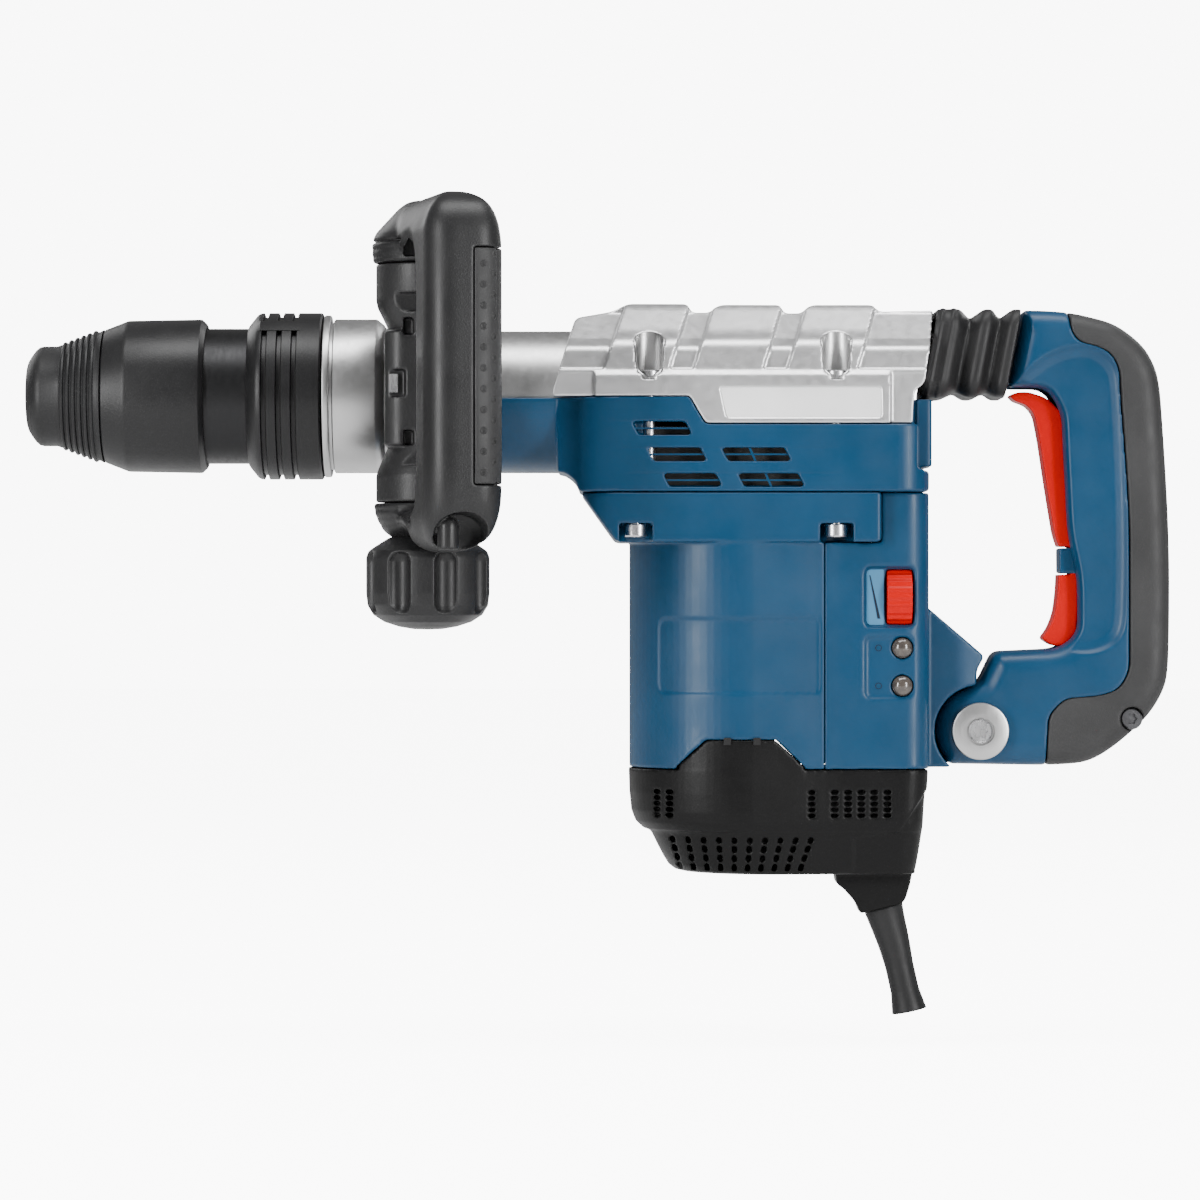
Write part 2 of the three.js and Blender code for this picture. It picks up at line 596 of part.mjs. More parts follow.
// ---------- auxiliary handle ----------
function clampBody() {
  const [bx, by] = BOLT;
  const band = turnedX(tube(157, 186, SEAT_R + GAP, 33.6));
  const block = upright(
    [[153.8, by - 11], [153.8, -27], [189.8, -27], [189.8, by - 11], [184, by - 15], [159.6, by - 15]],
      -22.5, 25,
  );
  const ears = union(
    turnedZ([[20, 0], [20, 14], [29, 18], [36, 21.4], [50.6, 21.4], [50.6, 0]], bx, by, 28),
    turnedZ([[-43.6, 0], [-43.6, 21.4], [-34, 21.4], [-27, 18], [-18, 14], [-18, 0]], bx, by, 28),
  );
  const teeth = [[50.4, 52.4], [-45.4, -43.4]].flatMap(([a, b]) =>
    Array.from({ length: 16 }, (_, i) => {
      const g = new THREE.BoxGeometry(6, 2.4, b - a).translate(13, 0, (a + b) / 2)
        .rotateZ((i * Math.PI) / 8);
      return solid(g.translate(bx, by, 0));
    }),
  );
  return union(block, ears, ...teeth)
    .subtract(turnedX(rod(140, 200, SEAT_R + GAP)))
    .add(band)
    .subtract(turnedZ(rod(-60, 60, 4.6), bx, by));
}

const BAIL_OUTER = [
  [-14, 79], [40, 80], [62, 79.6], [72, 76], [78, 68], [79.6, 56], [79.8, -38], [78.4, -50], [74, -60],
  [64, -66.6], [44, -67.6], [31, -66], [27, -61.4], [-14, -60],
];
const BAIL_INNER = [
  [-14, -46.4], [20, -46.4], [34, -50], [42, -46], [45, -36], [45.4, 44], [42, 54], [34, 58],
    [20, 53.4], [-14, 53.4],
];

// Places a solid drawn with X along the bail's arms into the part.
function placeBail(manifold) {
  return manifold.rotate([0, 0, -90 + BAIL_TURN]).translate([BOLT[0], BOLT[1], 0]);
}

// Arms and grip as one rounded loop; seen from its end the loop has round shoulders.
function bailLoop() {
  const loop = sideways([...BAIL_OUTER, ...BAIL_INNER], -BAIL_HALF, BAIL_HALF, 5);
  const shoulders = lengthways([
    [-BAIL_HALF, -48], [-BAIL_HALF, 66], [-10, 76], [0, 80], [7, 77], [13.5, 71], [BAIL_HALF, 60],
    [BAIL_HALF, -40], [13, -56], [6, -65], [-2, -68], [-12, -62],
  ], -30, 90);
  return loop.intersect(shoulders);
}

function bailFrame() {
  const hubs = union(
    turnedZ([[53.4, 0], [53.4, 23], [63, 23], [76, 12.6], [80, 8.4], [80, 0]], 0, 0, 32),
    turnedZ([[-63, 0], [-63, 11], [-58, 18.6], [-50, 22.4], [-46.4, 22.6], [-46.4, 0]], 0, 0, 32),
  );
  const scoop = turnedY([[-40, 0], [-40, 10.4], [-14, 10.4], [-10, 7], [-10, 0]], 65, -57, 20);
  const body = bailLoop().add(hubs).subtract(turnedZ(rod(-90, 72, 4.6), 0, 0));
  return placeBail(body.subtract(union(scoop, padPatch(0))));
}

// The soft pad wraps the rear outer quarter of the grip; the inset leaves it free in its seat.
function padPatch(inset) {
  const face = sideways([[60, 60 - inset], [90, 60 - inset], [90, -38 + inset], [60, -38 + inset]],
    3 + inset, 40);
  const core = sideways([[40, 80], [76.2 + inset, 80], [76.2 + inset, -80], [40, -80]], -40,
    BAIL_HALF - 3.4 + inset);
  return face.subtract(core);
}

function bailPad() {
  return placeBail(bailLoop().intersect(padPatch(GAP)));
}

function clampKnob() {
  const [x, y] = BOLT;
  const side = [[-99, 0], [-98, 11], [-95, 20.5], [-90, 24.8], [-84, 25.6], [-68, 25.6], [-65, 22.4],
    [-63.6, 17], [-63.6, 0]];
  let body = turnedZ(side, x, y, ROUND);
  for (let i = 0; i < FLUTES; i++) {
    const t = ((i + 0.5) / FLUTES) * 2 * Math.PI - 0.06;
    body = body.subtract(turnedZ([[-93, 0], [-90, 3.4], [-69, 3.4], [-66.5, 0]],
      x + 26.4 * Math.cos(t), y + 26.4 * Math.sin(t), 12));
  }
  return body.subtract(turnedZ(rod(-90, -60, 4.6), x, y));
}

// ---------- small pieces ----------
function screwFromTop(x, y) {
  return turnedZ([[-32, 0], [-32, 2.5], [5.8, 2.5], [5.8, 4.9], [9.4, 4.6], [9.4, 0]], x, y);
}

function screwFromBelow(x, y) {
  return turnedZ([[-60.4, 0], [-60.4, 4.6], [-55, 5], [-55, 2.5], [-42.4, 2.5], [-42.4, 0]], x, y);
}

function handleScrew() {
  return turnedY([[-17.4, 0], [-17.4, 4.6], [-15.1, 4.6], [-15.1, 2.1], [10, 2.1], [10, 0]],
    ...HANDLE_SCREW);
}

function lamp(z) {
  return turnedY([[-41, 0], [-40.4, 2.4], [-38.8, 4.3], [-34, 4.3], [-34, 0]], LAMP_X, z);
}

function pivotBolt() {
  const half = [[20, 6], [20, 12.1], [22.6, 12.1], [23.4, 11.4], [23.4, 0]];
  const other = half.map(([along, r]) => [-along, r]).reverse();
  return turnedY([...other, ...half], PIVOT[0], PIVOT[2], ROUND);
}

// A carbon brush or its holder: a block between two heights, out to one side of the motor.
function brushBlock(side, x0, x1, near, far, z0, z1) {
  return box(x0, x1, Math.min(side * near, side * far), Math.max(side * near, side * far), z0, z1);
}

// ---------- assembly ----------

add("gearbox_housing", gearboxHousing(), SILVER());
add("barrel", barrel(), SILVER());
add("gear_cover", gearCover(), BLUE());
add("motor_housing", motorHousing(), BLUE());
add("rear_housing", rearHousing(), BLUE());
add("bottom_cap", bottomCap(), BLACK());
add("cord_guard", cordGuard(), BLACK());
add("hammer_cylinder", turnedX(tube(170, 292, 19, 23), 0, 0, 28), STEEL());

const sideName = (y) => (y < 0 ? "left" : "right");
for (const y of [-SCREW_Y, SCREW_Y]) {
  add("front_casting_screw_" + sideName(y), screwFromTop(SCREW_X[0], y), STEEL());
  add("rear_casting_screw_" + sideName(y), screwFromTop(SCREW_X[1], y), STEEL());
}
add("front_flange_screw", screwFromBelow(FLANGE_SCREW_X[0], -SCREW_Y), STEEL());
add("rear_flange_screw", screwFromBelow(FLANGE_SCREW_X[1], -SCREW_Y), STEEL());

add("stator", turnedZ(tube(-140, -80, 25.3, 41.4), MOTOR_X, 0, 28), DARK());
add("upper_motor_bearing", turnedZ(tube(-57, -47, 6.3, 13), MOTOR_X), STEEL());
add("lower_motor_bearing", turnedZ(tube(-186, -175, 5.3, 11), MOTOR_X), STEEL());
add("crank_bearing", turnedZ(tube(-57, -46, 8.3, 13), CRANK_X), STEEL());
for (const s of [-1, 1]) {
  const holder = brushBlock(s, 296.5, 308.5, 17, 38, -167, -151);
  const room = brushBlock(s, 298.5, 306.5, 15, 34, -165, -153);
  add("brush_holder_" + sideName(s), holder.subtract(room), COPPER());
  add("brush_" + sideName(s), brushBlock(s, 298.8, 306.2, 14.4, 30, -164.7, -153.3), DARK());
}
add("electronics_module", box(348, 362, -24, 24, -150, -76), DARK());
add("upper_lamp", lamp(LAMP_Z[0]), CLEAR());
add("lower_lamp", lamp(LAMP_Z[1]), CLEAR());
add("pivot_bolt", pivotBolt(), SILVER());

const wheelSide = [[364, 0], [364, 12.6], [364.6, 13], [374, 13], [374.6, 12.6], [374.6, 0]];
add("speed_wheel", turnedX(wheelSide, -30, -85.6), RED());

add("motor_shaft", motorShaft(), STEEL());
add("armature_core", turnedZ(tube(-142, -78, 6.3, 24.6), MOTOR_X, 0, 24), DARK());
add("commutator", turnedZ(tube(-168, -150, 6.3, 14), MOTOR_X, 0, 24), COPPER());
add("fan", fan(), DARK());
add("crankshaft", crankshaft(), STEEL());
add("crank_gear", crankGear(), STEEL());
add("piston", piston(), STEEL());
add("piston_pin", turnedZ(rod(-17, 17, 4), PISTON_PIN_X), STEEL());
add("connecting_rod", connectingRod(), STEEL());
const strikerSide = [[180, 0], [180, 9], [184, 11], [192, 11], [192, 18.6], [216, 18.6], [216, 0]];
add("striker", turnedX(strikerSide), STEEL());
add("beat_piece", turnedX([[110, 0], [110, 8], [112, 12], [158, 12], [162, 9], [162, 0]], 0, 0, 24),
  STEEL());

add("tool_holder", toolHolder(), DARK());
add("dust_cap", dustCap(), BLACK());
for (const s of [-1, 1]) add("locking_roller_" + sideName(s), turnedX(rod(38, 52, 3), s * 12.6, 0, 14),
  STEEL());
add("sleeve_spring", coil([0, 0], 23, 1.5, 46.4, 61.8, 3), STEEL());
add("locking_sleeve", lockingSleeve(), BLACK());
add("ribbed_ring", ribbedRing(), BLACK());

add("handle_shell_left", handleShell(-1), BLUE());
add("handle_shell_right", handleShell(1), BLUE());
add("grip_overmould", gripOvermould(), BLACK());
add("handle_screw", handleScrew(), STEEL());
add("switch_module", box(455.6, 464, -8.4, 8.4, -62, -28), DARK());
add("switch_rocker", switchRocker(), RED());
add("bellows", bellows(), BLACK());
add("handle_spring", coil([0, 17], 9, 1.3, 384, 413, 5), STEEL());

add("clamp_body", clampBody(), DARK());
add("clamp_bolt", turnedZ(rod(-88, 70, 4.1), BOLT[0], BOLT[1], 14), STEEL());
add("bail_frame", bailFrame(), BLACK());
add("bail_pad", bailPad(), BLACK());
add("clamp_knob", clampKnob(), BLACK());

export default group;
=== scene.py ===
"""Looks of the demolition hammer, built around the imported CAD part. Shapes are drawn in millimetres
from the nose along the hammer axis (x rearwards, y right, z up) and placed from the CAD nodes' boxes."""

import math

import bmesh
import bpy
from mathutils import Matrix, Vector


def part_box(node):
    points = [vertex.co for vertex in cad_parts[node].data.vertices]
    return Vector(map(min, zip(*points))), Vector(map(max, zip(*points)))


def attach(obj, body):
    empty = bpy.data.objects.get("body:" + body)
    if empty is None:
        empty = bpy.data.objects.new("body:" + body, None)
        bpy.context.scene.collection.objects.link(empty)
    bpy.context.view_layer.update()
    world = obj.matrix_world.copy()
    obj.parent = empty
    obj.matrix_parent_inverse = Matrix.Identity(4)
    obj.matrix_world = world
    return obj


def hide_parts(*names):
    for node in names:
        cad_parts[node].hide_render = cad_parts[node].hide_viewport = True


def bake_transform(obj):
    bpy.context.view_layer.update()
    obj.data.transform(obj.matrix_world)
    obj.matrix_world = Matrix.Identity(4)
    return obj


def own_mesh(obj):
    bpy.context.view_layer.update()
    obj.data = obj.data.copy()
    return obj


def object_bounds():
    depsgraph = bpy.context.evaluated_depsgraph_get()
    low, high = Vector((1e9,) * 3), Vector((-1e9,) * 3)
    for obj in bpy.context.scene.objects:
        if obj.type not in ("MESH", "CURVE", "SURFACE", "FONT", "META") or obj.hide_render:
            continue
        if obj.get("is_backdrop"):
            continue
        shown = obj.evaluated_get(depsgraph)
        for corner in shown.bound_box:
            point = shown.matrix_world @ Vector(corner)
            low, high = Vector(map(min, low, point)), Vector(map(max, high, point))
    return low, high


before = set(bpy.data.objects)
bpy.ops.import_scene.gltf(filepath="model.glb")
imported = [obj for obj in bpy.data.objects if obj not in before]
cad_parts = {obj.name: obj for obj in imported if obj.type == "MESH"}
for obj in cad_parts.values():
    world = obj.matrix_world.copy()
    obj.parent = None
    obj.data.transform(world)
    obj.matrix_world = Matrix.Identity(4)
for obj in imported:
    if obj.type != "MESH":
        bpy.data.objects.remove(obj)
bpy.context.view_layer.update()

MM = 0.001
NOSE_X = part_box("dust_cap")[0].x
AXIS_Z = (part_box("barrel")[0].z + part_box("barrel")[1].z) / 2
PLACE = Matrix.Translation((NOSE_X, 0, AXIS_Z)) @ Matrix.Scale(MM, 4)


def drawn_box(node):
    """A CAD node's box in the drawing frame: millimetres from the nose on the hammer axis."""
    back = PLACE.inverted()
    return [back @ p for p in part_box(node)]


def middle(node):
    low, high = drawn_box(node)
    return (low + high) / 2


# ---------- driving dimensions ----------
FINE = 96  # sides of a large turned piece
SPLIT_Z = drawn_box("motor_housing")[1].z  # where the motor's flange meets the gear cover
FLANGE_Z = SPLIT_Z - 20.6  # the flange's underside
CAP_Z = drawn_box("motor_housing")[0].z  # where the motor's shell meets the bottom cap
BASE_Z = -202.2
MOTOR_X = middle("stator").x
MOTOR_R = 46.3
SEAM_X = drawn_box("rear_housing")[0].x
REAR_X = 382
PIVOT = middle("pivot_bolt")
HUB_R = 18.6  # the rear handle's round foot
HANDLE_HALF = drawn_box("grip_overmould")[1].y
BOLT = middle("clamp_bolt")
BAIL_TURN = 13.5
BAIL_HALF = 16.3
PAD_START = 3.0  # the pad begins this far behind the middle of the grip and wraps its rear outer corner
WHITE = (1, 1, 1, 1)
SCREW_Y = middle("front_casting_screw_right").y
CASTING_SCREWS = [middle(f"{where}_casting_screw_right").x for where in ("front", "rear")]
FLANGE_SCREWS = [middle(f"{where}_flange_screw").x for where in ("front", "rear")]


# ---------- materials ----------
def set_inputs(node, values):
    for socket, value in values.items():
        node.inputs[socket].default_value = value


class Shader:
    """A principled material with helpers for noise-driven colour, roughness and relief."""

    def __init__(self, name, colour, roughness, metallic=0.0):
        self.material = bpy.data.materials.new(name)
        self.material.use_nodes = True
        self.nodes = self.material.node_tree.nodes
        self.links = self.material.node_tree.links
        self.bsdf = self.nodes["Principled BSDF"]
        set_inputs(self.bsdf, {"Base Color": (*colour, 1), "Roughness": roughness, "Metallic": metallic})
        set_inputs(self.bsdf, {"Specular IOR Level": 0.5 if metallic else 0.3})
        self.where = self.nodes.new("ShaderNodeTexCoord").outputs["Object"]
        self.relief_input = None

    def noise(self, per_metre, detail=3.0, stretch=(1, 1, 1)):
        mapping = self.nodes.new("ShaderNodeMapping")
        set_inputs(mapping, {"Scale": stretch})
        self.links.new(self.where, mapping.inputs["Vector"])
        texture = self.nodes.new("ShaderNodeTexNoise")
        set_inputs(texture, {"Scale": per_metre, "Detail": detail})
        self.links.new(mapping.outputs["Vector"], texture.inputs["Vector"])
        return texture.outputs["Fac"]

    def between(self, value, low, high):
        """Spreads a noise, which mostly stays between 0.3 and 0.7, over a range."""
        ramp = self.nodes.new("ShaderNodeMapRange")
        set_inputs(ramp, {"From Min": 0.3, "From Max": 0.7, "To Min": low, "To Max": high})
        self.links.new(value, ramp.inputs["Value"])
        return ramp.outputs["Result"]

    def vary_roughness(self, value, low, high):
        self.links.new(self.between(value, low, high), self.bsdf.inputs["Roughness"])
        return self

    def vary_colour(self, value, first, second):
        mix = self.nodes.new("ShaderNodeMix")
        mix.data_type = "RGBA"
        set_inputs(mix, {"A": (*first, 1), "B": (*second, 1)})
        self.links.new(self.between(value, 0, 1), mix.inputs["Factor"])
        self.links.new(mix.outputs["Result"], self.bsdf.inputs["Base Color"])
        return self

    def relief(self, value, height, strength=1.0):
        """Adds bumps of a height in metres; later calls stack on earlier ones."""
        bump = self.nodes.new("ShaderNodeBump")
        set_inputs(bump, {"Distance": height, "Strength": strength})
        self.links.new(value, bump.inputs["Height"])
        if self.relief_input:
            self.links.new(self.relief_input, bump.inputs["Normal"])
        self.relief_input = bump.outputs["Normal"]
        self.links.new(self.relief_input, self.bsdf.inputs["Normal"])
        return self

    def shown_to_camera(self, strength):
        """Adds a plain glow that only the camera sees, so the floor reads as white paper."""
        seen = self.nodes.new("ShaderNodeLightPath").outputs["Is Camera Ray"]
        scaled = self.nodes.new("ShaderNodeMath")
        scaled.operation = "MULTIPLY"
        set_inputs(scaled, {1: strength})
        self.links.new(seen, scaled.inputs[0])
        self.links.new(scaled.outputs[0], self.bsdf.inputs["Emission Strength"])
        set_inputs(self.bsdf, {"Emission Color": WHITE})


def tinted(colour, factor):
    return tuple(min(1.0, c * factor) for c in colour)


def plastic(name, colour, roughness, grain=2600, height=0.00006, gloss=0.3):
    made = Shader(name, colour, roughness)
    set_inputs(made.bsdf, {"Specular IOR Level": gloss})
    made.vary_colour(made.noise(26), tinted(colour, 0.93), tinted(colour, 1.07))
    made.vary_roughness(made.noise(60), roughness - 0.06, roughness + 0.06)
    made.relief(made.noise(grain, 2), height, 0.5)
    return made.material


def cast_metal(name, colour):
    made = Shader(name, colour, 0.42, 0.85)
    made.vary_colour(made.noise(40), tinted(colour, 0.95), tinted(colour, 1.03))
    made.vary_roughness(made.noise(300), 0.33, 0.42)
    made.relief(made.noise(1900, 4), 0.00007, 0.4)
    return made.material


def turned_metal(name, colour, roughness, stretch, spread=0.07):
    made = Shader(name, colour, roughness, 1.0)
    made.vary_roughness(made.noise(900, 3, stretch), roughness - spread, roughness + spread)
    made.relief(made.noise(2400, 2, stretch), 0.00001, 0.3)
    return made.material


def rubber(name, colour, roughness=0.75):
    made = Shader(name, colour, roughness)
    made.vary_colour(made.noise(35), tinted(colour, 0.85), tinted(colour, 1.2))
    made.vary_roughness(made.noise(80), roughness - 0.08, roughness + 0.08)
    made.relief(made.noise(1900, 3), 0.00008, 0.5)
    return made.material


def laminated(name, colour):
    made = Shader(name, colour, 0.5, 0.7)
    made.relief(made.noise(900, 1, (0.02, 0.02, 1)), 0.0002, 0.8)
    made.vary_roughness(made.noise(200), 0.4, 0.6)
    return made.material


BLUE = plastic("blue_plastic", (0.0018, 0.037, 0.088), 0.38)
# Darker blue for the speed scale's marks, and painted shade on the pivot web
DARK_BLUE_MARKS_AND_SHADE = plastic("dark_blue_marks_and_painted_shade", (0.001, 0.008, 0.02), 0.5)
PALE_BLUE = plastic("pale_blue_scale", (0.05, 0.17, 0.3), 0.4)
BLACK = plastic("black_plastic", (0.01, 0.01, 0.0105), 0.42, 1500, 0.00012)
CAP_BLACK = plastic("cap_plastic", (0.002, 0.002, 0.0021), 0.42, 1500, 0.00012, 0.17)
CHUCK_BLACK = plastic("chuck_plastic", (0.008, 0.008, 0.0085), 0.4, 1700, 0.0001)
SOFT = rubber("soft_black", (0.023, 0.023, 0.0235), 0.55)
RUBBER = rubber("black_rubber", (0.009, 0.009, 0.0095), 0.5)
GREY = plastic("clamp_grey", (0.014, 0.014, 0.0145), 0.42, 1300, 0.00015)
RED = plastic("red_plastic", (0.44, 0.0, 0.0), 0.34, gloss=0.12)
LABEL = plastic("blank_label", (0.8, 0.8, 0.8), 0.4)
CAST = cast_metal("cast_aluminium", (0.62, 0.62, 0.625))
TURNED = turned_metal("turned_aluminium", (0.5, 0.5, 0.5), 0.36, (1, 0.3, 0.3), 0.04)
SLEEVE_STEEL = turned_metal("blackened_steel", (0.03, 0.03, 0.031), 0.42, (1, 0.2, 0.2), 0.05)
STEEL = turned_metal("bright_steel", (0.62, 0.62, 0.63), 0.28, (1, 1, 0.1))
DARK_STEEL = turned_metal("dark_steel", (0.1, 0.1, 0.105), 0.42, (1, 0.05, 0.05))
COPPER = turned_metal("copper", (0.75, 0.38, 0.2), 0.3, (1, 1, 0.1))
IRON = laminated("laminated_iron", (0.2, 0.2, 0.21))
# Dark carbon for the motor brushes, also used as painted shade behind the vents and the cap's louvres
CARBON_AND_SHADE = rubber("carbon", (0.03, 0.03, 0.03), 0.5)
CIRCUIT = plastic("potted_circuit", (0.02, 0.07, 0.04), 0.4)


def lens_material():
    made = Shader("lamp_lens", (0.05, 0.042, 0.036), 0.14)
    set_inputs(made.bsdf, {"Specular IOR Level": 0.7})
    made.vary_colour(made.noise(240), (0.03, 0.026, 0.024), (0.08, 0.066, 0.055))
    made.vary_roughness(made.noise(500), 0.1, 0.2)
    return made.material


LENS = lens_material()


# ---------- drawing helpers, all in millimetres ----------
def linked(name, data):
    """A new object in the scene."""
    made = bpy.data.objects.new(name, data)
    bpy.context.scene.collection.objects.link(made)
    return made


def duplicate(obj):
    return linked("duplicate", obj.data.copy())


def mesh_object(name, points, faces):
    data = bpy.data.meshes.new(name)
    data.from_pydata([tuple(p) for p in points], [], faces)
    data.update()
    made = linked(name, data)
    outward = bmesh.new()
    outward.from_mesh(data)
    bmesh.ops.recalc_face_normals(outward, faces=outward.faces)
    outward.to_mesh(data)
    outward.free()
    return made


def corners(points, steps=5):
    """An outline whose points may carry a corner radius as a third number."""
    out = []
    for i, p in enumerate(points):
        here = Vector(p[:2])
        radius = p[2] if len(p) > 2 else 0
        before = Vector(points[i - 1][:2]) - here
        after = Vector(points[(i + 1) % len(points)][:2]) - here
        reach = min(radius, before.length * 0.49, after.length * 0.49)
        if reach <= 0:
            out.append(tuple(here))
            continue
        start = here + before.normalized() * reach
        end = here + after.normalized() * reach
        for k in range(steps + 1):
            t = k / steps
            out.append(tuple(start * (1 - t) ** 2 + here * 2 * t * (1 - t) + end * t * t))
    return out


def spline(points, per=5, closed=False):
    """A smooth curve through the points."""
    n = len(points)
    out = []
    for i in range(n if closed else n - 1):
        near = [j % n if closed else min(max(j, 0), n - 1) for j in (i - 1, i, i + 1, i + 2)]
        a, b, c, d = [Vector(points[j]) for j in near]
        square = 2 * a - 5 * b + 4 * c - d
        cube = 3 * b - a - 3 * c + d
        for k in range(per):
            t = k / per
            out.append(tuple(0.5 * (2 * b + (c - a) * t + square * t * t + cube * t ** 3)))
    if not closed:
        out.append(tuple(points[-1]))
    return out


def prism(outline, low, high, to_point):
    n = len(outline)
    points = [to_point(a, b, low) for a, b in outline] + [to_point(a, b, high) for a, b in outline]
    faces = [tuple(range(n)), tuple(range(2 * n - 1, n - 1, -1))]
    faces += [(i, (i + 1) % n, n + (i + 1) % n, n + i) for i in range(n)]
    return mesh_object("drawn", points, faces)


def side(outline, y0, y1):
    return prism(corners(outline), y0, y1, lambda a, b, c: (a, c, b))


def plan(outline, z0, z1):
    return prism(corners(outline), z0, z1, lambda a, b, c: (a, b, c))


def section(outline, x0, x1):
    return prism(corners(outline), x0, x1, lambda a, b, c: (c, a, b))


def block(x0, x1, y0, y1, z0, z1):
    return plan([(x0, y0), (x1, y0), (x1, y1), (x0, y1)], z0, z1)


def turned(profile, axis="x", centre=(0, 0, 0), sides=FINE):
    """A lathed piece; profile pairs are (along, radius), from axis to axis or closed on itself."""
    closed = profile[0][1] > 0
    if closed and tuple(profile[0]) == tuple(profile[-1]):
        profile = profile[:-1]
    points, rings = [], []
    for along, radius in profile:
        count = sides if radius > 0 else 1
        rings.append(list(range(len(points), len(points) + count)))
        for i in range(count):
            t = 2 * math.pi * i / sides
            u, v = radius * math.cos(t), radius * math.sin(t)
            local = {"x": (along, u, v), "y": (v, along, u), "z": (u, v, along)}[axis]
            points.append(Vector(local) + Vector(centre))
    faces = []
    pairs = list(zip(rings, rings[1:])) + ([(rings[-1], rings[0])] if closed else [])
    for a, b in pairs:
        for i in range(sides):
            quad = [a[i % len(a)], a[(i + 1) % len(a)], b[(i + 1) % len(b)], b[i % len(b)]]
            quad = [v for k, v in enumerate(quad) if v not in quad[:k]]
            if len(quad) > 2:
                faces.append(tuple(quad))
    return mesh_object("turned", points, faces)


def rod(a, b, r):
    return [(a, 0), (a, r), (b, r), (b, 0)]


def tube(a, b, inner, outer):
    return [(a, inner), (a, outer), (b, outer), (b, inner)]


def upright(x, y, low, high, radius, sides=32):
    return turned(rod(low, high, radius), "z", (x, y, 0), sides)


def crosswise(x, z, low, high, radius, sides=32):
    return turned(rod(low, high, radius), "y", (x, 0, z), sides)


def loft(rings, closed=False):
    n = len(rings[0])
    points = [p for ring in rings for p in ring]
    faces = []
    for i in range(len(rings) if closed else len(rings) - 1):
        a, b = i * n, ((i + 1) % len(rings)) * n
        faces += [(a + j, a + (j + 1) % n, b + (j + 1) % n, b + j) for j in range(n)]
    if not closed:
        faces += [tuple(range(n)), tuple(range(len(points) - 1, len(points) - n - 1, -1))]
    return mesh_object("loft", points, faces)


def bake(obj):
    graph = bpy.context.evaluated_depsgraph_get()
    made = bpy.data.meshes.new_from_object(obj.evaluated_get(graph))
    obj.modifiers.clear()
    old = obj.data
    obj.data = made
    bpy.data.meshes.remove(old)
    return obj


def combine(obj, others, operation):
    for other in others:
        modifier = obj.modifiers.new("combine", "BOOLEAN")
        modifier.operation = operation
        modifier.solver = "MANIFOLD"
        modifier.object = other
    bake(obj)
    for other in others:
        bpy.data.objects.remove(other)
    return obj


def cut(obj, *others):
    return combine(obj, others, "DIFFERENCE")


def join(obj, *others):
    return combine(obj, others, "UNION")


def common(obj, *others):
    return combine(obj, others, "INTERSECT")


def mould(obj, cell=0.7, rounds=6):
    """Rounds every edge a little, as on a moulded piece; small cells and few rounds keep it crisp."""
    remesh = obj.modifiers.new("skin", "REMESH")
    remesh.mode = "VOXEL"
    remesh.voxel_size = cell * 1
    smooth = obj.modifiers.new("round", "SMOOTH")
    smooth.factor = 0.5
    smooth.iterations = rounds
    return bake(obj)


def dress(obj, material):
    obj.data.materials.clear()
    obj.data.materials.append(material)


def mirrored_y(obj):
    other = duplicate(obj)
    other.data.transform(Matrix.Scale(-1, 4, (0, 1, 0)))
    other.data.flip_normals()
    return other


def both_sides(obj):
    return [obj, mirrored_y(obj)]


def place(obj, name, body, material, nodes=(), angle=32):
    """Moves a drawn piece into the part's frame and hangs it on its body."""
    obj.name = name
    obj.data.transform(PLACE)
    dress(obj, material)
    obj.data.shade_smooth()
    obj.data.set_sharp_from_angle(angle=math.radians(angle))
    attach(obj, body)
    if nodes:
        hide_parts(*nodes)
    return obj


def flipped(half):
    """A plan outline from its half with y > 0, mirrored about the middle plane."""
    return half + [(p[0], -p[1], *p[2:]) for p in reversed(half) if abs(p[1]) > 1e-6]


def arc(cx, cy, r, start, end, steps):
    angles = [math.radians(start + (end - start) * i / steps) for i in range(steps + 1)]
    return [(cx + r * math.cos(t), cy + r * math.sin(t)) for t in angles]


# ---------- chuck ----------
def dust_cap():
    profile = [(0, 9.8), (0, 13.4), (0.5, 15), (1.7, 17), (3.6, 19.6), (5.2, 20.9), (7, 21.3), (12.6, 21.3),
        (14.2, 21.9)]
    for i in range(6):
        x = 15 + i * 2.6
        base = 22 + i * 0.98
        profile += [(x, base), (x + 0.35, base + 0.8), (x + 0.9, base + 1.15), (x + 1.5, base + 1),
            (x + 1.8, base + 0.45)]
    profile += [(30.8, 27.5), (32.4, 28.3), (32.4, 18.3), (2.6, 18.3), (2.6, 9.8)]
    place(turned(profile), "nose_cap", "chuck", RUBBER, ["dust_cap"])


def locking_sleeve():
    profile = [
        (32.8, 18.4), (32.8, 27.7), (33.3, 28.4), (41.9, 31.75), (42.7, 32.05), (43.6, 32.2), (73.6, 32.75),
        (74.4, 32.6),
        (76.2, 30.9), (76.5, 30.4), (76.5, 29.2), (44, 29.2), (44, 18.4),
    ]
    place(turned(profile), "pull_sleeve", "locking_sleeve", CHUCK_BLACK, ["locking_sleeve"])


def tool_holder():
    profile = [
        (3, 9.1), (3, 15.6), (3.6, 16.4), (5, 18), (64, 18), (64, 28.8), (98, 28.8), (98, 22.9), (150, 22.9),
        (150, 12.6), (104, 12.6), (100, 9.1),
    ]
    body = turned(profile)
    slots = [block(36.5, 53.5, *sorted((s * 8, s * 17.5)), -3.4, 3.4) for s in (-1, 1)]
    place(cut(body, *slots), "holder_tube", "chuck", SLEEVE_STEEL, ["tool_holder"])


